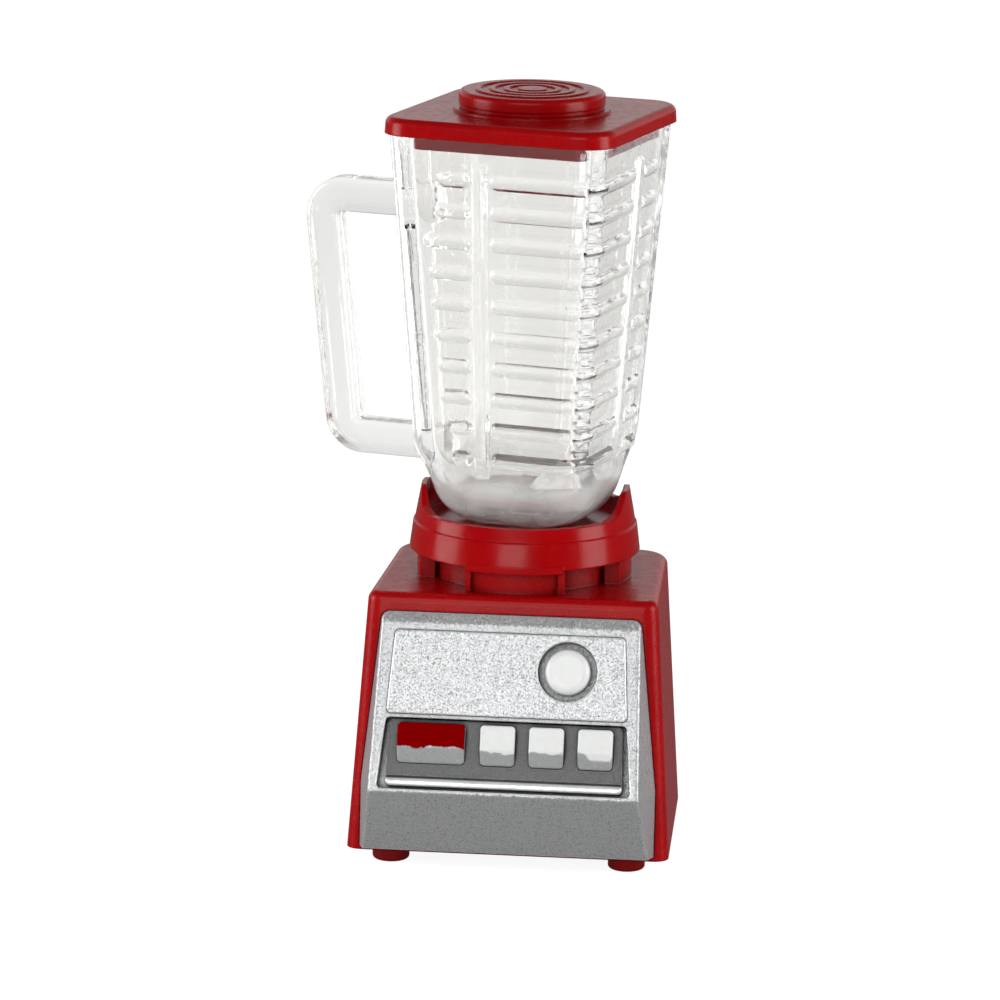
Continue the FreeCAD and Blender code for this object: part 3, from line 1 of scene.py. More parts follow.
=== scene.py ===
import math

import bmesh
import bpy
import numpy as np
from bpy.props import FloatProperty, FloatVectorProperty, PointerProperty
from mathutils import Matrix, Vector


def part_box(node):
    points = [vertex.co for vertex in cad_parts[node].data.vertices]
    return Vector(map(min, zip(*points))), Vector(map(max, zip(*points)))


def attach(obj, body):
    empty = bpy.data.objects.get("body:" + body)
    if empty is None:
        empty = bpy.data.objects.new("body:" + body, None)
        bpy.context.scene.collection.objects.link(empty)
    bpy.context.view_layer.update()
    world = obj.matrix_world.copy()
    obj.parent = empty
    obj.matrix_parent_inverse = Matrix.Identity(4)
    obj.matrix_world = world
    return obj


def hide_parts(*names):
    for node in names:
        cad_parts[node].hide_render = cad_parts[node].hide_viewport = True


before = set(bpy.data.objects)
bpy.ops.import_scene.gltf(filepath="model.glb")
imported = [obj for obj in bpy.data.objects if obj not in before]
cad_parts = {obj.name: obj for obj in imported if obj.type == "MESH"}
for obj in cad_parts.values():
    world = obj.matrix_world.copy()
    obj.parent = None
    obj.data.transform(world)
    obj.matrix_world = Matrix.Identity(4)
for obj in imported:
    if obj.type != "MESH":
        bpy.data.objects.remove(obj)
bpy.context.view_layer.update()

bl_info = {
    "name": "Toy Blender",
    "version": (1, 0, 0),
    "blender": (4, 5, 0),
    "location": "View3D > Sidebar > Toy Blender",
    "description": "Dresses a doll-size toy blender: clear ribbed jar, red mouldings, silver key panel",
    "category": "Add Mesh",
}

MM = 0.001


# ---------------------------------------------------------------- places that the model gives

JAR_LOW = Vector(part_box("jar")[0])
JAR_YAW = math.radians(-15)

# The key panel's sloping face: x across, y up the face, z out of it, from the apron's edge.
# These are millimetres up the housing's leaning front and out of it; the face ends a little
# below the housing's top.
FRONT_LEAN = math.radians(4.5)
FRONT_Y = -12.6
FRONT_Z = 1.3
APRON_UP = 6.2
APRON_OUT = 4.6
FACE_TOP_UP = 21.5 - 0.85
FACE_TOP_OUT = 0.6
FACE_LEAN = FRONT_LEAN + math.atan((APRON_OUT - FACE_TOP_OUT) / (FACE_TOP_UP - APRON_UP))
FACE_TURN = math.radians(90) - FACE_LEAN
FACE_FOOT = Vector((0,
                    APRON_UP * math.sin(FRONT_LEAN) - APRON_OUT * math.cos(FRONT_LEAN) + FRONT_Y,
                    FRONT_Z + APRON_UP * math.cos(FRONT_LEAN) + APRON_OUT * math.sin(FRONT_LEAN))) * MM

# Middle of the first narrow key across that face, and one key to the next.
FIRST_KEY = -0.65
KEY_PITCH = 4.3


# ---------------------------------------------------------------- sizes and colours

class JarSizes(bpy.types.PropertyGroup):
    """Sizes of the clear jar and its handle."""
    height: FloatProperty(name="Height", description="Jar from its foot to its rim",
                          default=35.3 * MM, unit="LENGTH", precision=4)
    mouth: FloatProperty(name="Mouth", description="Half width of the jar at its rim",
                         default=10.05 * MM, unit="LENGTH", precision=4)
    lean: FloatProperty(name="Lean", description="Lean of the jar's faces",
                        default=math.radians(3.87), subtype="ANGLE")
    wall: FloatProperty(name="Wall", description="Thickness of the walls",
                        default=1.75 * MM, unit="LENGTH", precision=4)
    floor: FloatProperty(name="Floor", description="Thickness of the floor",
                         default=2.2 * MM, unit="LENGTH", precision=4)
    corner: FloatProperty(name="Corner", description="Rounding of the upright corners",
                          default=1.95 * MM, unit="LENGTH", precision=4)
    foot_corner: FloatProperty(name="Foot corner", description="Rounding of those corners at the foot",
                               default=6.2 * MM, unit="LENGTH", precision=4)
    foot_edge: FloatProperty(name="Foot edge", description="Rounding of the lower edge",
                             default=4.0 * MM, unit="LENGTH", precision=4)
    rise: FloatProperty(name="Rise", description="How far ribs and bands stand out",
                        default=0.34 * MM, unit="LENGTH", precision=5)
    rib_half: FloatProperty(name="Rib", description="Half height of a rib",
                            default=0.62 * MM, unit="LENGTH", precision=5)
    rib_pitch: FloatProperty(name="Rib pitch", description="Ribs, one to the next",
                             default=2.78 * MM, unit="LENGTH", precision=4)
    handle_reach: FloatProperty(name="Handle reach", description="Outside of the handle at its top",
                                default=21.37 * MM, unit="LENGTH", precision=4)


class Finishes(bpy.types.PropertyGroup):
    """Colours of the toy's plastics and paints."""
    red: FloatVectorProperty(name="Red", description="Red plastic", subtype="COLOR", size=3,
                             min=0, max=1, default=(0.27, 0.0, 0.001))
    key_red: FloatVectorProperty(name="Key red", description="Paint on the wide key", subtype="COLOR",
                                 size=3, min=0, max=1, default=(0.17, 0.0, 0.0003))
    silver: FloatVectorProperty(name="Silver", description="Silver paint", subtype="COLOR", size=3,
                                min=0, max=1, default=(0.42, 0.425, 0.43))
    white: FloatVectorProperty(name="White", description="White paint on keys and disc",
                               subtype="COLOR", size=3, min=0, max=1, default=(0.64, 0.65, 0.64))
    clear: FloatVectorProperty(name="Clear", description="Tint of the clear plastic", subtype="COLOR",
                               size=3, min=0, max=1, default=(0.955, 0.952, 0.935))
    inner_red: FloatVectorProperty(name="Inner red", description="Dull plastic of the inner parts",
                                   subtype="COLOR", size=3, min=0, max=1,
                                   default=(0.22, 0.008, 0.012))
    rubber: FloatVectorProperty(name="Rubber", description="Sleeves behind the keys",
                                subtype="COLOR", size=3, min=0, max=1, default=(0.03, 0.03, 0.03))


class StageSettings(bpy.types.PropertyGroup):
    """Camera and lamps."""
    turn: FloatProperty(name="Turn", description="Camera to the right of the toy's front",
                        default=math.radians(5.75), subtype="ANGLE")
    rise: FloatProperty(name="Rise", description="Camera above the horizon",
                        default=math.radians(12.78), subtype="ANGLE")
    roll: FloatProperty(name="Roll", description="Camera turned about its line of sight",
                        default=math.radians(0.9), subtype="ANGLE")
    distance: FloatProperty(name="Distance", description="Camera to the middle of the toy",
                            default=0.5198, unit="LENGTH")
    aim_height: FloatProperty(name="Aim height", description="Height that the camera looks at",
                              default=0.03069, unit="LENGTH", precision=4)
    aim_side: FloatProperty(name="Aim side", description="How far to the right the camera looks",
                            default=-0.00228, unit="LENGTH", precision=4)
    lens: FloatProperty(name="Lens", description="Focal length in millimetres on the sensor's width",
                        default=209.43, unit="CAMERA")
    front_lamp: FloatProperty(name="Front lamp", description="High softbox in front, watts",
                              default=0.38, min=0, unit="POWER")
    side_lamps: FloatProperty(name="Side lamps", description="Softboxes at both sides, watts",
                              default=0.75, min=0, unit="POWER")
    card: FloatProperty(name="Card", description="Small card in front, watts",
                        default=0.018, min=0, unit="POWER")
    ambient: FloatProperty(name="Ambient", description="Even light from all round", default=0.45, min=0)
    room: FloatProperty(name="Room", description="Brightness of the room that gloss mirrors",
                        default=0.10, min=0)
    through_room: FloatProperty(name="Room through", description="Brightness of the room seen through "
                                "clear plastic", default=0.6, min=0)


def sizes():
    """The jar's sizes."""
    return bpy.context.scene.toy_jar


def finishes():
    """The colours."""
    return bpy.context.scene.toy_finishes


def stage():
    """The camera's and lamps' settings."""
    return bpy.context.scene.toy_stage


# ---------------------------------------------------------------- mesh helpers

def mesh_object(name, points, quads, triangles=None):
    """A mesh from whole arrays: points (n, 3), quads (m, 4) and triangles (k, 3)."""
    corners = [quads.reshape(-1)]
    counts = [np.full(len(quads), 4)]
    if triangles is not None:
        corners.append(triangles.reshape(-1))
        counts.append(np.full(len(triangles), 3))
    corners = np.concatenate(corners).astype(np.int32)
    counts = np.concatenate(counts).astype(np.int32)
    starts = np.concatenate(([0], np.cumsum(counts)[:-1])).astype(np.int32)
    mesh = bpy.data.meshes.new(name)
    mesh.vertices.add(len(points))
    mesh.vertices.foreach_set("co", np.ascontiguousarray(points, dtype=np.float32).reshape(-1))
    mesh.loops.add(len(corners))
    mesh.loops.foreach_set("vertex_index", corners)
    mesh.polygons.add(len(counts))
    mesh.polygons.foreach_set("loop_start", starts)
    mesh.polygons.foreach_set("loop_total", counts)
    mesh.update(calc_edges=True)
    mesh.validate()
    item = bpy.data.objects.new(name, mesh)
    bpy.context.scene.collection.objects.link(item)
    return item


def grid_quads(rows, columns, start=0, flip=False):
    """Quads of a grid whose rows close on themselves."""
    i = np.arange(rows - 1)[:, None]
    j = np.arange(columns)[None, :]
    k = (j + 1) % columns
    quads = np.stack(np.broadcast_arrays(i * columns + j, i * columns + k,
                                         (i + 1) * columns + k, (i + 1) * columns + j), -1)
    quads = quads.reshape(-1, 4) + start
    return quads[:, ::-1] if flip else quads


def ring_fan(start, columns, centre, flip=False):
    """Triangles from each step of a closed ring to one centre point."""
    j = start + np.arange(columns)
    k = start + (np.arange(columns) + 1) % columns
    edge = (k, j) if flip else (j, k)
    return np.stack(edge + (np.full(columns, centre),), 1)


def with_height(flat, height):
    """Rings in a plane, each lifted to its own height."""
    rows, columns = flat.shape[:2]
    return np.concatenate((flat, np.broadcast_to(height[:, None, None], (rows, columns, 1))), 2)


def smooth_by_angle(item, degrees):
    """Smooth shading, with edges sharper than the angle left crisp."""
    mesh = item.data
    mesh.polygons.foreach_set("use_smooth", np.ones(len(mesh.polygons), dtype=bool))
    mesh.set_sharp_from_angle(angle=math.radians(degrees))
    mesh.update()


def outward(item):
    """Turn every face outwards, whichever way the sweep ran."""
    bm = bmesh.new()
    bm.from_mesh(item.data)
    bmesh.ops.recalc_face_normals(bm, faces=bm.faces)
    bm.to_mesh(item.data)
    bm.free()
    return item


def smooth_step(value):
    """0 below 0, 1 above 1, and 3v^2 - 2v^3 between."""
    value = np.clip(value, 0, 1)
    return value * value * (3 - 2 * value)


# ---------------------------------------------------------------- node helpers

class Nodes:
    """A material's nodes, added and linked by short calls."""

    def __init__(self, name):
        self.material = bpy.data.materials.new(name)
        self.material.use_nodes = True
        self.tree = self.material.node_tree
        self.tree.nodes.clear()
        self.out = self.tree.nodes.new("ShaderNodeOutputMaterial")

    def add(self, kind, inputs=None, **settings):
        """A node; an input is either another node's socket or a constant."""
        node = self.tree.nodes.new("ShaderNode" + kind)
        for key, value in settings.items():
            setattr(node, key, value)
        for key, value in (inputs or {}).items():
            if isinstance(value, bpy.types.NodeSocket):
                self.tree.links.new(value, node.inputs[key])
            else:
                node.inputs[key].default_value = value
        return node

    def place(self):
        """Object coordinates in millimetres."""
        coordinates = self.add("TexCoord").outputs["Object"]
        return self.add("Mapping", {"Vector": coordinates, "Scale": (1 / MM,) * 3}).outputs[0]

    def noise(self, scale, detail=2.0, rough=0.5):
        """Noise whose features are about 1 / scale millimetres across."""
        return self.add("TexNoise", {"Vector": self.place(), "Scale": scale, "Detail": detail,
                                     "Roughness": rough}).outputs["Fac"]

    def ramp(self, value, *stops):
        """A colour ramp; each stop is a position and a colour."""
        node = self.add("ValToRGB", {"Fac": value})
        ramp = node.color_ramp
        while len(ramp.elements) < len(stops):
            ramp.elements.new(0.5)
        for element, (position, colour) in zip(ramp.elements, stops):
            element.position = position
            element.color = tuple(colour) + (1,)
        return node.outputs["Color"]

    def range(self, value, low, high, to_low=0.0, to_high=1.0):
        """From low..high to another range, held at its ends."""
        return self.add("MapRange", {"Value": value, "From Min": low, "From Max": high,
                                     "To Min": to_low, "To Max": to_high}).outputs[0]

    def math(self, operation, first, second=0.0):
        """One calculation on two numbers."""
        return self.add("Math", {0: first, 1: second}, operation=operation).outputs[0]

    def vector(self, operation, first, second, key=1):
        """One calculation on two vectors, or on a vector and a number under its own key."""
        return self.add("VectorMath", {0: first, key: second}, operation=operation).outputs[0]

    def mix(self, factor, first, second):
        """A blend of two colours; these three sockets share their names, so numbers find them."""
        node = self.add("Mix", data_type="RGBA")
        for socket, value in ((0, factor), (6, first), (7, second)):
            if isinstance(value, bpy.types.NodeSocket):
                self.tree.links.new(value, node.inputs[socket])
            else:
                node.inputs[socket].default_value = value if socket == 0 else tuple(value[:3]) + (1,)
        return node.outputs[2]

    def bump(self, height, strength, distance, normal=None):
        """Normals bent by a height; the distance is in metres."""
        inputs = {"Height": height, "Strength": strength, "Distance": distance}
        if normal is not None:
            inputs["Normal"] = normal
        return self.add("Bump", inputs).outputs[0]

    def soft_edges(self, reach):
        """Normals that turn over an edge within a reach in millimetres, so that it catches light."""
        return self.add("Bevel", {"Radius": reach * MM}, samples=6).outputs[0]

    def painted_crevice_shade(self, reach, darkest_shade):
        """Painted shade: 1 in the open, falling to a darker share in gaps narrower than the reach in
        millimetres.
        """
        open_share = self.add("AmbientOcclusion", {"Distance": reach * MM}, samples=8).outputs["AO"]
        return self.range(open_share, 0.35, 0.85, darkest_shade, 1.0)

    def finish(self, shader):
        """The material, with the shader on its surface."""
        self.tree.links.new(shader.outputs[0], self.out.inputs["Surface"])
        return self.material


def shade(factor, colour):
    """A colour made lighter or darker."""
    return tuple(min(1.0, channel * factor) for channel in colour)


def face_place(n):
    """Millimetres on the key panel's face: across, up and out, as three sockets."""
    coordinates = n.add("TexCoord").outputs["Object"]
    local = n.add("Mapping", {"Vector": coordinates, "Location": tuple(FACE_FOOT),
                              "Rotation": (FACE_TURN, 0, 0)}, vector_type="TEXTURE").outputs[0]
    parts = n.add("SeparateXYZ", {0: n.vector("MULTIPLY", local, (1 / MM,) * 3)})
    return parts.outputs[0], parts.outputs[1], parts.outputs[2]


# ---------------------------------------------------------------- materials

# Painted shade: black mixed into the red plastic in recesses and between parts.
PAINTED_SHADE_BLACK = (0.0, 0.0, 0.0)
# Painted shade: near-black mixed into silver paint and keys in narrow gaps.
PAINTED_GAP_SHADE = (0.01, 0.01, 0.01)
# Painted highlight: light silver laid on silver edges that stand out.
PAINTED_EDGE_HIGHLIGHT = (0.85, 0.86, 0.87)


def red_plastic(name, peel=1.0, rough=0.2, tone=1.0, darkest_shade=0.8):
    """Glossy red moulded plastic: orange peel, faint flow marks, a little dust in the gloss, and
    painted shade that darkens it in recesses and between parts.
    """
    n = Nodes(name)
    red = finishes().red
    flow = n.noise(0.22, 3.0, 0.55)
    colour = n.mix(n.range(flow, 0.3, 0.7), shade(0.93 * tone, red), shade(1.06 * tone, red))
    # painted shade: the red turns towards black where gaps and recesses are narrow
    colour = n.mix(n.painted_crevice_shade(2.0, darkest_shade), PAINTED_SHADE_BLACK, colour)
    grain = n.noise(3.4, 2.0, 0.5)
    waves = n.noise(0.5, 1.0, 0.4)
    height = n.math("ADD", n.math("MULTIPLY", grain, 0.35), waves)
    dust = n.noise(1.3, 4.0, 0.6)
    shader = n.add("BsdfPrincipled", {
        "Base Color": colour, "Roughness": n.range(dust, 0.3, 0.75, rough, rough + 0.1),
        "IOR": 1.49, "Specular IOR Level": 0.16,
        "Normal": n.bump(height, 0.25 * peel, 0.00012, n.soft_edges(0.2))})
    return n.finish(shader)


def flake_normals(n, size, spread, normal):
    """Normals of metallic paint: each flake tilts its own way."""
    cells = n.add("TexVoronoi", {"Vector": n.place(), "Scale": size}).outputs["Color"]
    tilt = n.vector("SUBTRACT", cells, (0.5, 0.5, 0.5))
    both = n.vector("ADD", normal, n.vector("SCALE", tilt, spread, "Scale"))
    return n.add("VectorMath", {0: both}, operation="NORMALIZE").outputs[0]


def silver_colour(n, tone, depth):
    """Silver paint, darker in specks where its flakes part."""
    silver = finishes().silver
    grain = n.noise(6.5, 3.0, 0.6)
    return n.ramp(grain, (0.36, shade((1 - depth) * tone, silver)), (0.47, shade(tone, silver)),
                  (0.70, shade(1.1 * tone, silver)))


def silver_paint(name, tone, depth, spread, edge_highlight, proud=None):
    """Silver paint full of small metal flakes, with a painted highlight where an edge stands out.

    An edge is found by how far its softened normal leans from the face's own. Where a height over the
    key panel's face is given, everything that stands above it gets that painted highlight too.
    """
    n = Nodes(name)
    soft = n.soft_edges(0.3)
    own = n.add("NewGeometry").outputs["Normal"]
    lean = n.add("VectorMath", {0: soft, 1: own}, operation="DOT_PRODUCT").outputs["Value"]
    # rim: painted highlight on standing edges and, where a height is given, on all above it
    rim = n.math("MULTIPLY", n.range(lean, 0.995, 0.88), edge_highlight)
    if proud is not None:
        out = face_place(n)[2]
        rim = n.math("MAXIMUM", rim, n.range(out, proud, proud + 0.1))
    colour = n.mix(rim, silver_colour(n, tone, depth), PAINTED_EDGE_HIGHLIGHT)
    # painted shade in narrow gaps
    colour = n.mix(n.painted_crevice_shade(0.7, 0.15), PAINTED_GAP_SHADE, colour)
    shader = n.add("BsdfPrincipled", {
        "Base Color": colour, "Metallic": 0.6, "Roughness": 0.36,
        "Normal": flake_normals(n, 9.0, spread, soft)})
    return n.finish(shader)


def key_paint(name, paint, edge, drip, drip_start, satin, gloss):
    """A silver key whose top is painted by hand: the paint stops along a wavy line near the bend.

    The line lies at a height on the face; past the drip's start it falls with a slope. Paint is
    where the place lies above the line and out of the key's foot.
    """
    n = Nodes(name)
    bare = silver_colour(n, 1.1, 0.15)
    bare_rough = 0.42
    across, up, out = face_place(n)
    wave = n.noise(1.1, 2.0, 0.5)
    past_start = n.math("MAXIMUM", n.math("SUBTRACT", across, drip_start), 0.0)
    line = n.math("SUBTRACT", n.range(wave, 0.3, 0.7, edge - 0.16, edge + 0.16),
                  n.math("MULTIPLY", past_start, drip))
    above = n.range(n.math("SUBTRACT", up, line), -0.06, 0.06)
    proud = n.range(n.math("ADD", out, n.range(wave, 0.3, 0.7, -0.05, 0.05)), 0.12, 0.24)
    painted = n.math("MULTIPLY", above, proud)
    tone = n.noise(1.6, 3.0, 0.55)
    coat = n.mix(n.range(tone, 0.3, 0.7), shade(0.95, paint), paint)
    height = n.math("ADD", n.math("MULTIPLY", painted, 1.2), n.math("MULTIPLY", tone, 0.5))
    shader = n.add("BsdfPrincipled", {
        # painted shade in the narrow gaps round the key
        "Base Color": n.mix(n.painted_crevice_shade(0.5, 0.3), PAINTED_GAP_SHADE, n.mix(painted, bare, coat)),
        "Metallic": n.math("MULTIPLY", n.math("SUBTRACT", 1.0, painted), 0.5),
        "Roughness": n.math("ADD", n.math("MULTIPLY", painted, satin - bare_rough), bare_rough),
        "Specular IOR Level": gloss,
        "Normal": n.bump(height, 0.5, 0.00005, n.soft_edges(0.22))})
    return n.finish(shader)


def white_plastic(name):
    """Satin white plastic with a barely uneven surface."""
    n = Nodes(name)
    white = finishes().white
    colour = n.mix(n.range(n.noise(0.9, 3.0), 0.35, 0.7), shade(0.96, white), white)
    shader = n.add("BsdfPrincipled", {
        "Base Color": colour, "Roughness": n.range(n.noise(2.0), 0.3, 0.7, 0.28, 0.4),
        "Normal": n.bump(n.noise(2.6), 0.15, 0.00006)})
    return n.finish(shader)


def clear_plastic(name):
    """Clear moulded plastic, slightly warm and faintly wavy; round its thick foot it turns partly
    diffuse white in streaks, a painted reflection of the bright backdrop seen inside the clear foot.
    """
    n = Nodes(name)
    waves = n.noise(0.35, 2.0, 0.5)
    specks = n.range(n.noise(2.2, 4.0, 0.65), 0.60, 0.74)
    height = n.math("ADD", waves, n.math("MULTIPLY", specks, 0.35))
    up = n.add("SeparateXYZ", {0: n.place()}).outputs[2]
    foot = JAR_LOW.z / MM
    streaks = n.range(n.noise(0.3, 1.0, 0.4), 0.35, 0.65, 0.34, 0.22)
    # painted reflection: below these heights the foot turns partly diffuse white
    painted_foot_reflection = n.math("MULTIPLY", n.range(up, foot + 6.2, foot + 4.0), streaks)
    shader = n.add("BsdfPrincipled", {
        "Base Color": tuple(finishes().clear) + (1,), "Roughness": 0.035, "IOR": 1.47,
        "Transmission Weight": n.math("SUBTRACT", 1.0, painted_foot_reflection),
        "Normal": n.bump(height, 0.22, 0.00012)})
    return n.finish(shader)


def dull_plastic(name, colour, rough):
    """Unpolished plastic or rubber for the parts inside, with a faint spark-eroded grain."""
    n = Nodes(name)
    grain = n.noise(4.0, 3.0, 0.6)
    tint = n.mix(n.range(grain, 0.3, 0.7), shade(0.85, colour), shade(1.1, colour))
    shader = n.add("BsdfPrincipled", {"Base Color": tint, "Roughness": rough,
                                      "Normal": n.bump(grain, 0.3, 0.00005)})
    return n.finish(shader)


def screw_steel(name):
    """Plated steel, dulled in small marks."""
    n = Nodes(name)
    marks = n.noise(6.0, 2.0, 0.5)
    shader = n.add("BsdfPrincipled", {
        "Base Color": n.mix(marks, (0.5, 0.5, 0.52), (0.66, 0.66, 0.68)), "Metallic": 1.0,
        "Roughness": n.range(marks, 0.3, 0.7, 0.25, 0.4), "Normal": n.bump(marks, 0.2, 0.00003)})
    return n.finish(shader)


def paint_node(name, material):
    """Give a CAD node its material."""
    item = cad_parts[name]
    if not item.material_slots:
        item.data.materials.append(material)
    for slot in item.material_slots:
        slot.material = material


# ---------------------------------------------------------------- the jar

# Sides 0 to 3 are front, right, back and left; 4 to 7 are the corners that follow them.
FRONT = 0
RIGHT = 1
NEAR_CORNER = 4
SIDE_NORMALS = np.array(((0, -1), (1, 0), (0, 1), (-1, 0)), dtype=float)
SIDE_TANGENTS = np.array(((1, 0), (0, 1), (-1, 0), (0, -1)), dtype=float)
# Columns: over each edge of a band, beside it on a ribbed and on a plain side, between the last
# of them and the corner, and round the corner. They fill no more than a share of a narrow side.
BAND_COLUMNS = 6
RIBBED_COLUMNS = 26
PLAIN_COLUMNS = 6
END_COLUMNS = 3
CORNER_COLUMNS = 10
SIDE_SHARE = 0.93

RIB_COUNT = 10
FIRST_RIB = 31.75 * MM
RIB_TO_BAND = 0.30 * MM
# The short ribs left of the front band, top one first: how far each reaches from the band.
SHORT_RIBS = np.array((3.2, 3.5, 4.5, 4.2, 3.9, 3.6, 3.4, 3.2, 2.3, 2.1)) * MM
RIGHT_SHORT_RIB = 2.6 * MM

BAND_MIDDLES = np.array((-1.1, 0.75, -0.85, 0.85)) * MM
BAND_HALF = 0.62 * MM
BAND_SHOULDER = 0.20 * MM
BAND_FOOT = 5.0 * MM
BAND_FOOT_FADE = 1.2 * MM
BAND_TOP = 33.4 * MM
BAND_TOP_FADE = 0.5 * MM

# The corners sharpen from the foot's rounding to the upright one between these heights.
SHARPEN_LOW = 3.0 * MM
SHARPEN_HIGH = 8.0 * MM
RIM_EDGE = 0.25 * MM
INNER_EDGE = 2.0 * MM
INNER_FOOT_CORNER = 3.9 * MM
INNER_CORNER = 0.8 * MM

# The columns reach this far along a side, outside and inside, and this far from a band's edge.
SIDE_REACH = 5.9 * MM
INNER_REACH = 5.6 * MM
BAND_SOFT = 0.22 * MM

# Rows: round the foot, below the ribs, over them, above them and round the rim; then inside,
# round the floor's edge and up each half of the wall.
FOOT_ROWS = 14
LOW_ROWS = 8
RIB_ROWS = 196
HIGH_ROWS = 14
RIM_ROWS = 4
FLOOR_ROWS = 12
INNER_ROWS = 10
RIB_MARGIN = 0.95 * MM
BELOW_RIBS = 1.1 * MM
ABOVE_RIBS = 1.05 * MM
ABOVE_FOOT = 0.15 * MM
ABOVE_FLOOR = 0.3 * MM
INNER_LOW_END = 8.5 * MM
INNER_HIGH_START = 9.5 * MM


def jar_half(height):
    """Half width of the outside: it widens evenly with height."""
    jar = sizes()
    return jar.mouth - (jar.height - height) * math.tan(jar.lean)


def corner_radius(height, foot, top, low, high):
    """Corner rounding: the foot's below one height, the top's above another, smooth between."""
    return foot + (top - foot) * smooth_step((height - low) / (high - low))


def side_columns():
    """Distances from the middle of each side, closer together over the edges of its band.

    The two ribbed sides have more columns beside the band than the plain ones.
    """
    sides = []
    for i, middle in enumerate(BAND_MIDDLES):
        low = middle - BAND_HALF
        high = middle + BAND_HALF
        beside = RIBBED_COLUMNS if i in (FRONT, RIGHT) else PLAIN_COLUMNS
        sides.append(np.concatenate((
            np.linspace(-SIDE_REACH, low - 1.5 * BAND_SOFT, beside),
            np.linspace(low - BAND_SOFT, low + BAND_SOFT, BAND_COLUMNS),
            np.linspace(high - BAND_SOFT, high + BAND_SOFT, BAND_COLUMNS),
            np.linspace(high + 1.5 * BAND_SOFT, SIDE_REACH, beside))))
    return sides


def square_ring(half, radius, sides):
    """Rings of a rounded square, one for each height.

    Side k runs along tangent t_k at distance half along normal n_k: n_k * half + t_k * u.
    Corner k turns from n_k to t_k about (half - radius) * (n_k + t_k). The places u of a side
    are fixed distances in its middle and share out the rest near its ends.
    Returns the points, the outward directions, u and the side's number (4 to 7 for corners).
    """
    rows = len(half)
    straight = half - radius
    most = (straight * SIDE_SHARE)[:, None]
    ends = np.linspace(0.0, 1.0, END_COLUMNS + 1)[:-1]
    angle = np.linspace(0, math.pi / 2, CORNER_COLUMNS + 2)[1:-1]
    points, normals, along, numbers = [], [], [], []
    for k, (n, t) in enumerate(zip(SIDE_NORMALS, SIDE_TANGENTS)):
        u = np.sign(sides[k]) * np.minimum(np.abs(sides[k])[None, :], most)
        first = -straight[:, None] + (u[:, :1] + straight[:, None]) * ends
        last = u[:, -1:] + (straight[:, None] - u[:, -1:]) * (1 - ends[::-1])
        u = np.concatenate((first, u, last), 1)
        points.append(n * half[:, None, None] + t * u[..., None])
        normals.append(np.broadcast_to(n, u.shape + (2,)))
        along.append(u)
        numbers.append(np.full(u.shape[1], k))
        spoke = np.cos(angle)[:, None] * n + np.sin(angle)[:, None] * t
        points.append(straight[:, None, None] * (n + t) + radius[:, None, None] * spoke)
        normals.append(np.broadcast_to(spoke, (rows, CORNER_COLUMNS, 2)))
        along.append(np.zeros((rows, CORNER_COLUMNS)))
        numbers.append(np.full(CORNER_COLUMNS, 4 + k))
    return (np.concatenate(points, 1), np.concatenate(normals, 1),
            np.concatenate(along, 1), np.concatenate(numbers))


def flat_topped(distance, half):
    """Rise of a band, 0 to 1: flat within its half width, with a soft shoulder."""
    return smooth_step((half - distance) / BAND_SHOULDER + 0.5)


def half_round(distance, half):
    """Rise of a rib, 0 to 1: the root of 1 - (distance / half)^2, like a bar laid on the face."""
    return np.sqrt(np.clip(1 - (distance / half) ** 2, 0, 1))


def jar_relief(along, number, height):
    """How far ribs and bands stand out of the jar's face, 0 to 1.

    A band is |u - middle| within its half width. A rib is a capsule about its own height: the
    distance is the root of (past its end)^2 + (height - rib)^2. The long ribs run from the front
    band round the near corner to the right band, the short ones lie outside the bands.
    """
    jar = sizes()
    ribs = FIRST_RIB - np.arange(RIB_COUNT) * jar.rib_pitch
    gap_up = height[:, None, None] - ribs
    u = along[..., None]
    side = number[None, :, None]
    clear = BAND_HALF + RIB_TO_BAND + jar.rib_half
    front_band = BAND_MIDDLES[FRONT]
    right_band = BAND_MIDDLES[RIGHT]

    past_front = np.maximum(front_band + clear - u, 0)
    past_right = np.maximum(u - (right_band - clear), 0)
    past = np.where(side == FRONT, past_front, np.where(side == RIGHT, past_right, 0))
    ribbed = (side == FRONT) | (side == RIGHT) | (side == NEAR_CORNER)
    long_rib = np.where(ribbed, half_round(np.hypot(past, gap_up), jar.rib_half), 0)

    front_tip = front_band - BAND_HALF - SHORT_RIBS + jar.rib_half
    past_front = np.maximum(np.maximum(u - (front_band - clear), front_tip - u), 0)
    right_tip = right_band + clear + RIGHT_SHORT_RIB
    past_right = np.maximum(np.maximum(right_band + clear - u, u - right_tip), 0)
    past = np.where(side == FRONT, past_front, past_right)
    ribbed = (side == FRONT) | (side == RIGHT)
    short_rib = np.where(ribbed, half_round(np.hypot(past, gap_up), jar.rib_half), 0)

    middle = BAND_MIDDLES[np.minimum(number, 3)]
    band = np.where(number < 4, flat_topped(np.abs(along - middle), BAND_HALF), 0)
    up = height[:, None]
    band = band * smooth_step((up - BAND_FOOT) / BAND_FOOT_FADE)
    band = band * smooth_step((BAND_TOP - up) / BAND_TOP_FADE)
    return np.maximum(np.maximum(long_rib, short_rib).max(-1), band)


def rim_bend():
    """Rise and inset over the rim's rounded edge: r * sin a and r * (1 - cos a)."""
    bend = np.linspace(0, math.pi / 2, RIM_ROWS + 1)[1:]
    return RIM_EDGE * np.sin(bend), RIM_EDGE * (1 - np.cos(bend))


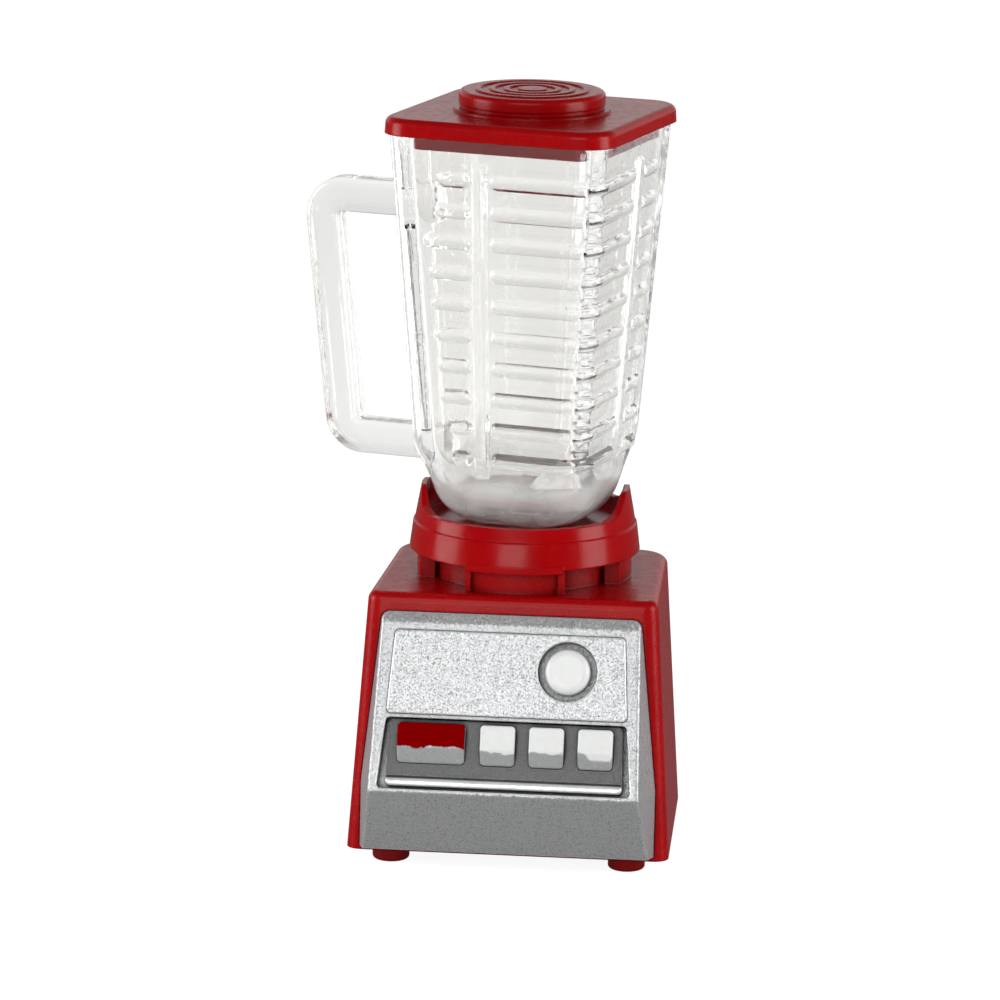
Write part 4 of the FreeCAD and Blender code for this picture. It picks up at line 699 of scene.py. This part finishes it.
def jar_outside(sides):
    """Rings of the jar's outside, from the foot's rounded edge up over the rim.

    The foot turns by e * (1 - cos a) in height and e * (1 - sin a) inwards. Above it the rows
    stand close where the ribs are. Ribs and bands are added along the outward direction.
    """
    jar = sizes()
    edge = jar.foot_edge
    turn = np.linspace(0, math.pi / 2, FOOT_ROWS)
    last_rib = FIRST_RIB - (RIB_COUNT - 1) * jar.rib_pitch
    rim_rise, rim_inset = rim_bend()
    height = np.concatenate((
        edge * (1 - np.cos(turn)),
        np.linspace(edge + ABOVE_FOOT, last_rib - BELOW_RIBS, LOW_ROWS),
        np.linspace(last_rib - RIB_MARGIN, FIRST_RIB + RIB_MARGIN, RIB_ROWS),
        np.linspace(FIRST_RIB + ABOVE_RIBS, jar.height - RIM_EDGE, HIGH_ROWS),
        jar.height - RIM_EDGE + rim_rise))
    inset = np.zeros(len(height))
    inset[:FOOT_ROWS] = edge * (1 - np.sin(turn))
    inset[-RIM_ROWS:] = rim_inset
    radius = corner_radius(height, jar.foot_corner, jar.corner, SHARPEN_LOW, SHARPEN_HIGH) - inset
    flat, normals, along, number = square_ring(jar_half(height) - inset, radius, sides)
    relief = jar_relief(along, number, height) * jar.rise
    return with_height(flat + normals * relief[..., None], height)


def jar_inside(sides):
    """Rings of the hollow: the floor's rounded edge, plain walls, and out over the rim."""
    jar = sizes()
    turn = np.linspace(0, math.pi / 2, FLOOR_ROWS)
    rim_rise, rim_inset = rim_bend()
    height = np.concatenate((
        jar.floor + INNER_EDGE * (1 - np.cos(turn)),
        np.linspace(jar.floor + INNER_EDGE + ABOVE_FLOOR, INNER_LOW_END, INNER_ROWS),
        np.linspace(INNER_HIGH_START, jar.height - RIM_EDGE, INNER_ROWS),
        jar.height - RIM_EDGE + rim_rise))
    floor_inset = INNER_EDGE * (1 - np.sin(turn))
    inset = np.zeros(len(height))
    inset[:FLOOR_ROWS] = floor_inset
    inset[-RIM_ROWS:] = -rim_inset
    radius = corner_radius(height, INNER_FOOT_CORNER, INNER_CORNER, jar.floor, SHARPEN_HIGH)
    radius[:FLOOR_ROWS] -= floor_inset
    places = [np.clip(u, -INNER_REACH, INNER_REACH) for u in sides]
    flat = square_ring(jar_half(height) - jar.wall - inset, radius, places)[0]
    return with_height(flat, height)


def jar_surfaces():
    """Points and faces of the jar's closed wall: outside, rim, inside and both floors."""
    sides = side_columns()
    outer = jar_outside(sides)
    inner = jar_inside(sides)
    rows, columns = outer.shape[:2]
    inner_rows = len(inner)
    under = (0, 0, 0)
    floor = (0, 0, sizes().floor)
    points = np.concatenate((outer.reshape(-1, 3), inner.reshape(-1, 3), [under, floor]))
    inner_start = rows * columns
    j = np.arange(columns)
    k = (j + 1) % columns
    outer_top = (rows - 1) * columns
    inner_top = inner_start + (inner_rows - 1) * columns
    rim = np.stack((outer_top + j, outer_top + k, inner_top + k, inner_top + j), 1)
    quads = np.concatenate((grid_quads(rows, columns),
                            grid_quads(inner_rows, columns, inner_start, True), rim))
    triangles = np.concatenate((ring_fan(0, columns, len(points) - 2, True),
                                ring_fan(inner_start, columns, len(points) - 1)))
    return points, quads, triangles


# ---------------------------------------------------------------- its handle

HANDLE_THICK = 3.1 * MM
HANDLE_LOW = 4.65 * MM
HANDLE_HIGH = 29.6 * MM
HANDLE_TOP_BACK = 0.13 * MM
HANDLE_LOW_REACH = 18.8 * MM
HANDLE_TURN = 1.95 * MM
HANDLE_STEP = 0.5 * MM
TURN_POINTS = 13
# Part of the wall's thickness that each end of the handle reaches into.
HANDLE_BURY = 0.55

SECTION_OUT = 1.55 * MM
SECTION_SIDE = 1.45 * MM
SECTION_POWER = 5.5
SECTION_POINTS = 40
SWELL = 0.22
SWELL_START = 0.9 * MM
SWELL_FADE = 1.6 * MM

# A failed union leaves an empty mesh. Edges that turn by more than the angle, in degrees, stay crisp.
FEWEST_FACES = 1000
CRISP_ANGLE = 32


def handle_path():
    """Middle line of the handle in the jar's own XZ plane, in short even steps.

    Straight runs joined by quarter turns: out of the jar near its mouth, down along the jar
    and back in above its foot. Both ends reach into the wall.
    """
    jar = sizes()
    low = HANDLE_LOW + HANDLE_THICK / 2
    high = HANDLE_HIGH - HANDLE_THICK / 2
    top_x = -(jar.handle_reach - HANDLE_THICK / 2 - HANDLE_TOP_BACK)
    low_x = -(HANDLE_LOW_REACH - HANDLE_THICK / 2)
    bury = jar.wall * HANDLE_BURY
    knots = np.array(((-(jar_half(high) - bury), high), (top_x, high), (low_x, low),
                      (-(jar_half(low) - bury), low)))
    line = [knots[:1]]
    for i in (1, 2):
        before = knots[i - 1] - knots[i]
        after = knots[i + 1] - knots[i]
        before = before / np.linalg.norm(before)
        after = after / np.linalg.norm(after)
        opening = math.acos(float(np.clip(before @ after, -1, 1)))
        whole = math.pi - opening
        reach = HANDLE_TURN / math.tan(opening / 2)
        inwards = (before + after) / np.linalg.norm(before + after)
        middle = knots[i] + inwards * HANDLE_TURN / math.sin(opening / 2)
        start = knots[i] + before * reach - middle
        end = knots[i] + after * reach - middle
        sweep = np.linspace(0, 1, TURN_POINTS)[:, None] * whole
        line.append(middle + (np.sin(whole - sweep) * start + np.sin(sweep) * end) / math.sin(whole))
    line.append(knots[3:])
    points = np.concatenate(line)
    runs = np.diff(points, axis=0)
    counts = np.maximum(1, (np.linalg.norm(runs, axis=1) / HANDLE_STEP).astype(int))
    run = np.repeat(np.arange(len(runs)), counts)
    first = np.repeat(np.cumsum(counts) - counts, counts)
    share = (np.arange(len(run)) - first + 1) / counts[run]
    return np.concatenate((points[:1], points[run] + runs[run] * share[:, None]))


def handle_surface():
    """The handle: a bevelled square section carried along its middle line.

    The section is |a / out|^n + |b / side|^n = 1, with half widths out and side and the section's
    power n: a = out * cos(v)^(2/n) and b = side * sin(v)^(2/n), each with its own sign. It swells
    a little where it joins the wall.
    """
    line = handle_path()
    tangent = np.gradient(line, axis=0)
    tangent /= np.linalg.norm(tangent, axis=1)[:, None]
    normal = np.stack((tangent[:, 1], -tangent[:, 0]), 1)
    angle = np.linspace(0, 2 * math.pi, SECTION_POINTS + 1)[:-1]
    wave = np.stack((np.cos(angle), np.sin(angle)))
    a, b = np.sign(wave) * np.abs(wave) ** (2 / SECTION_POWER)
    length = np.concatenate(([0], np.cumsum(np.linalg.norm(np.diff(line, axis=0), axis=1))))
    end = np.minimum(length, length[-1] - length)
    swell = (1 + SWELL * (1 - smooth_step((end - SWELL_START) / SWELL_FADE)))[:, None]
    x = line[:, :1] + normal[:, :1] * a * SECTION_OUT * swell
    y = b * SECTION_SIDE * swell
    z = line[:, 1:] + normal[:, 1:] * a * SECTION_OUT * swell
    rows, columns = x.shape
    ends = [(line[i, 0], 0, line[i, 1]) for i in (0, -1)]
    points = np.concatenate((np.stack((x, y, z), -1).reshape(-1, 3), ends))
    triangles = np.concatenate((ring_fan(0, columns, rows * columns, True),
                                ring_fan((rows - 1) * columns, columns, rows * columns + 1)))
    return points, grid_quads(rows, columns), triangles


def turned_to_place(points):
    """From the jar's own frame to the model's: turned about Z, then lifted to the collar's seat."""
    c = math.cos(JAR_YAW)
    s = math.sin(JAR_YAW)
    x, y, z = points.T
    return np.stack((x * c - y * s, x * s + y * c, z + JAR_LOW.z), 1)


class TOYBLENDER_OT_jar(bpy.types.Operator):
    """The clear jar: ribs, bands and handle in one moulding"""
    bl_idname = "toy_blender.jar"
    bl_label = "Clear jar"

    def execute(self, context):
        points, quads, triangles = jar_surfaces()
        jar = mesh_object("clear_jar", turned_to_place(points), quads, triangles)
        points, quads, triangles = handle_surface()
        handle = outward(mesh_object("handle_bar", turned_to_place(points), quads, triangles))
        union = jar.modifiers.new("handle", "BOOLEAN")
        union.operation = "UNION"
        union.solver = "EXACT"
        union.object = handle
        graph = context.evaluated_depsgraph_get()
        whole = bpy.data.meshes.new_from_object(jar.evaluated_get(graph))
        jar.modifiers.clear()
        jar.data = whole
        bpy.data.objects.remove(handle)
        if len(whole.polygons) < FEWEST_FACES:
            raise RuntimeError("the handle did not join the jar")
        smooth_by_angle(jar, CRISP_ANGLE)
        jar.data.materials.clear()
        jar.data.materials.append(clear_plastic("clear_plastic"))
        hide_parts("jar")
        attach(jar, "pitcher")
        return {"FINISHED"}


# ---------------------------------------------------------------- the other pieces

class TOYBLENDER_OT_red_mouldings(bpy.types.Operator):
    """Red plastic: housing, collar, lid, filler cap and feet"""
    bl_idname = "toy_blender.red_mouldings"
    bl_label = "Red mouldings"

    def execute(self, context):
        # the housing takes the deepest painted shade, round the drum under the collar
        paint_node("housing", red_plastic("red_housing", peel=0.8, rough=0.22, darkest_shade=0.4))
        paint_node("collar", red_plastic("red_collar", peel=0.7, rough=0.16))
        cover = red_plastic("red_lid", peel=0.8)
        paint_node("lid", cover)
        paint_node("fill_cap", cover)
        # painted shade: the feet are the housing's red, darker for the shade under the housing
        foot = red_plastic("red_foot", rough=0.35, tone=0.8)
        for where in ("front_left", "front_right", "rear_left", "rear_right"):
            paint_node("foot_" + where, foot)
        return {"FINISHED"}


class TOYBLENDER_OT_key_panel(bpy.types.Operator):
    """Silver bezel, label plate and key tray, with the white disc"""
    bl_idname = "toy_blender.key_panel"
    bl_label = "Key panel"

    def execute(self, context):
        paint_node("bezel", silver_paint("silver_bezel", 1.1, depth=0.35, spread=0.35, edge_highlight=0.9))
        paint_node("label_plate", silver_paint("silver_label", 1.3, depth=0.55, spread=0.4, edge_highlight=0.9))
        # height on the face above which the tray's lip takes a painted highlight
        tray_lip = -0.28
        # painted shade: the tray is the bezel's silver at a far darker tone, for the shade of its
        # recess
        paint_node("key_tray", silver_paint("silver_tray", 0.18, depth=0.25, spread=0.2, edge_highlight=0.5,
                                            proud=tray_lip))
        paint_node("panel_disc", white_plastic("white_disc"))
        return {"FINISHED"}


class TOYBLENDER_OT_keys(bpy.types.Operator):
    """The wide red key and three white ones, painted on silver"""
    bl_idname = "toy_blender.keys"
    bl_label = "Keys"

    def execute(self, context):
        paints = finishes()
        paint_node("stop_key", key_paint("paint_stop_key", paints.key_red, edge=4.0, drip=0.0,
                                         drip_start=0.0, satin=0.45, gloss=0.0))
        for i, (edge, drip) in enumerate(((3.85, 0.05), (3.8, 0.0), (3.95, 0.55))):
            name = "speed_key_%d" % (i + 1)
            drip_start = FIRST_KEY + KEY_PITCH * i - 1.2
            paint_node(name, key_paint("paint_" + name, paints.white, edge, drip, drip_start,
                                       satin=0.4, gloss=0.1))
        return {"FINISHED"}


class TOYBLENDER_OT_inner_parts(bpy.types.Operator):
    """Bottom cover, carrier plate, sleeves and screws"""
    bl_idname = "toy_blender.inner_parts"
    bl_label = "Inner parts"

    def execute(self, context):
        dark = dull_plastic("dark_red_plastic", finishes().inner_red, 0.55)
        rubber = dull_plastic("black_rubber", finishes().rubber, 0.7)
        steel = screw_steel("screw_steel")
        for name in ("bottom_cover", "key_carrier"):
            paint_node(name, dark)
        for key in ("stop_key", "speed_key_1", "speed_key_2", "speed_key_3"):
            paint_node(key + "_sleeve", rubber)
        for name in ("cover_screws", "bezel_screws", "carrier_screws"):
            paint_node(name, steel)
        return {"FINISHED"}


# ---------------------------------------------------------------- stage

SENSOR_WIDTH = 36
FLOOR_REACH = 3.0
TOY_MIDDLE = (0, 0, 0.032)
# Each lamp's place, the point it faces, its width and height, and the setting of its strength.
LAMPS = {
    "front_softbox": ((-0.035, -0.31, 0.19), TOY_MIDDLE, (0.26, 0.16), "front_lamp"),
    "left_softbox": ((-0.30, -0.06, 0.09), TOY_MIDDLE, (0.16, 0.22), "side_lamps"),
    "right_softbox": ((0.30, -0.06, 0.09), TOY_MIDDLE, (0.16, 0.22), "side_lamps"),
    "front_card": ((-0.012, -0.11, 0.027), (0, 0, 0.027), (0.05, 0.014), "card"),
}


def area_lamp(name, place, target, size, watts):
    """A softbox that faces a point and isn't seen itself."""
    light = bpy.data.lights.new(name, "AREA")
    light.shape = "RECTANGLE"
    light.size, light.size_y = size
    light.energy = watts
    item = bpy.data.objects.new(name, light)
    item.location = place
    item.rotation_euler = (Vector(target) - Vector(place)).to_track_quat("-Z", "Y").to_euler()
    item.visible_camera = False
    bpy.context.scene.collection.objects.link(item)


def white_world(strength, room, through_room):
    """A white backdrop in a dimmer room.

    The camera sees white. Gloss and clear plastic see the white backdrop behind the toy, and
    beside, above and in front of it a room, which is brighter through clear plastic than in
    gloss. Everything else gets even soft light.
    """
    world = bpy.data.worlds.new("studio")
    bpy.context.scene.world = world
    world.use_nodes = True
    tree = world.node_tree
    tree.nodes.clear()

    def add(kind, *values, **settings):
        """A node with its inputs in order; gives its first output."""
        node = tree.nodes.new("ShaderNode" + kind)
        for key, value in settings.items():
            setattr(node, key, value)
        for i, value in enumerate(values):
            if isinstance(value, bpy.types.NodeSocket):
                tree.links.new(value, node.inputs[i])
            else:
                node.inputs[i].default_value = value
        return node.outputs[0]

    path = tree.nodes.new("ShaderNodeLightPath").outputs
    direction = tree.nodes.new("ShaderNodeTexCoord").outputs["Generated"]
    parts = tree.nodes.new("ShaderNodeSeparateXYZ")
    tree.links.new(direction, parts.inputs[0])
    behind = add("MapRange", parts.outputs[1], 0.15, 0.65, 0.0, 1.0)
    level = add("MapRange", add("Math", parts.outputs[2], operation="ABSOLUTE"), 0.25, 0.6, 1.0, 0.0)
    backdrop = add("Math", behind, level, operation="MULTIPLY")
    dim = add("MapRange", path["Is Transmission Ray"], 0.0, 1.0, room, through_room)
    mirrored = add("MapRange", backdrop, 0.0, 1.0, dim, 1.0)
    through = add("Math", path["Is Glossy Ray"], path["Is Transmission Ray"], operation="MAXIMUM")
    around = add("MapRange", through, 0.0, 1.0, strength, mirrored)
    shown = add("MapRange", path["Is Camera Ray"], 0.0, 1.0, around, 1.0)
    back = tree.nodes.new("ShaderNodeBackground")
    tree.links.new(shown, back.inputs["Strength"])
    out = tree.nodes.new("ShaderNodeOutputWorld")
    tree.links.new(back.outputs[0], out.inputs["Surface"])


def pale_floor():
    """A large plain floor: white to the eye, with the toy's own soft shadow on it.

    A glow takes a share of the lit floor for the camera, for clear plastic and, dimmer, for gloss.
    """
    r = FLOOR_REACH
    corners = np.array(((-r, -r, 0), (r, -r, 0), (r, r, 0), (-r, r, 0)))
    floor = mesh_object("floor", corners, np.array(((0, 1, 2, 3),)))
    n = Nodes("floor_white")
    path = n.add("LightPath").outputs
    share = n.math("MAXIMUM", n.math("MULTIPLY", path["Is Camera Ray"], 0.7),
                   n.math("MULTIPLY", path["Is Transmission Ray"], 0.5))
    mirrored = n.math("SUBTRACT", path["Is Glossy Ray"], path["Is Transmission Ray"])
    gloss = n.math("MAXIMUM", mirrored, 0.0)
    share = n.math("MAXIMUM", share, gloss)
    plain = n.add("BsdfDiffuse", {"Color": (0.9, 0.9, 0.9, 1)})
    glow = n.add("Emission", {"Color": (1, 1, 1, 1), "Strength": n.range(gloss, 0.0, 1.0, 1.3, 0.14)})
    mixed = n.add("MixShader", {0: share, 1: plain.outputs[0], 2: glow.outputs[0]})
    floor.data.materials.append(n.finish(mixed))


def place_camera(scene, settings):
    """A long lens that looks at the aim from a turn and a rise, rolled about its line of sight."""
    turn = settings.turn
    rise = settings.rise
    roll = settings.roll
    back = Vector((math.sin(turn) * math.cos(rise), -math.cos(turn) * math.cos(rise), math.sin(rise)))
    level = Vector((math.cos(turn), math.sin(turn), 0))
    upright = back.cross(level)
    right = level * math.cos(roll) + upright * math.sin(roll)
    up = upright * math.cos(roll) - level * math.sin(roll)
    aim = Vector((0, 0, settings.aim_height)) + right * settings.aim_side
    view = bpy.data.cameras.new("camera")
    view.sensor_width = SENSOR_WIDTH
    view.lens = settings.lens
    view.clip_start = 0.01
    view.clip_end = 20
    camera = bpy.data.objects.new("camera", view)
    axes = Matrix((right, up, back)).transposed().to_4x4()
    camera.matrix_world = Matrix.Translation(aim + back * settings.distance) @ axes
    scene.collection.objects.link(camera)
    scene.camera = camera


class TOYBLENDER_OT_stage(bpy.types.Operator):
    """Camera, softboxes, world and floor"""
    bl_idname = "toy_blender.stage"
    bl_label = "Stage"

    def execute(self, context):
        scene = context.scene
        settings = stage()
        scene.view_settings.view_transform = "Standard"
        # light runs along the clear walls with many inner reflections
        scene.cycles.max_bounces = 24
        scene.cycles.glossy_bounces = 12
        scene.cycles.transmission_bounces = 16
        place_camera(scene, settings)
        white_world(settings.ambient, settings.room, settings.through_room)
        pale_floor()
        for name, (place, target, size, strength) in LAMPS.items():
            area_lamp(name, place, target, size, getattr(settings, strength))
        return {"FINISHED"}


# ---------------------------------------------------------------- add-on

class TOYBLENDER_PT_panel(bpy.types.Panel):
    """Lists the pieces and their sizes"""
    bl_label = "Toy Blender"
    bl_idname = "TOYBLENDER_PT_panel"
    bl_space_type = "VIEW_3D"
    bl_region_type = "UI"
    bl_category = "Toy Blender"

    def draw(self, context):
        for group, title in ((sizes(), "Jar"), (finishes(), "Finishes"), (stage(), "Stage")):
            column = self.layout.box().column(align=True)
            column.label(text=title)
            for name in group.__annotations__:
                column.prop(group, name)
        column = self.layout.column(align=True)
        for operator in OPERATORS:
            column.operator(operator.bl_idname)


GROUPS = (("toy_jar", JarSizes), ("toy_finishes", Finishes), ("toy_stage", StageSettings))
OPERATORS = (TOYBLENDER_OT_stage, TOYBLENDER_OT_jar, TOYBLENDER_OT_red_mouldings,
             TOYBLENDER_OT_key_panel, TOYBLENDER_OT_keys, TOYBLENDER_OT_inner_parts)


def register():
    """Make the settings, operators and panel known to Blender."""
    for name, group in GROUPS:
        bpy.utils.register_class(group)
        setattr(bpy.types.Scene, name, PointerProperty(type=group))
    for item in OPERATORS + (TOYBLENDER_PT_panel,):
        bpy.utils.register_class(item)


def unregister():
    """Take them away again, in the opposite order."""
    for item in reversed(OPERATORS + (TOYBLENDER_PT_panel,)):
        bpy.utils.unregister_class(item)
    for name, group in reversed(GROUPS):
        delattr(bpy.types.Scene, name)
        bpy.utils.unregister_class(group)


def main():
    """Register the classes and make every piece."""
    register()
    bpy.ops.toy_blender.stage()
    bpy.ops.toy_blender.jar()
    bpy.ops.toy_blender.red_mouldings()
    bpy.ops.toy_blender.key_panel()
    bpy.ops.toy_blender.keys()
    bpy.ops.toy_blender.inner_parts()


if __name__ == "__main__":
    main()
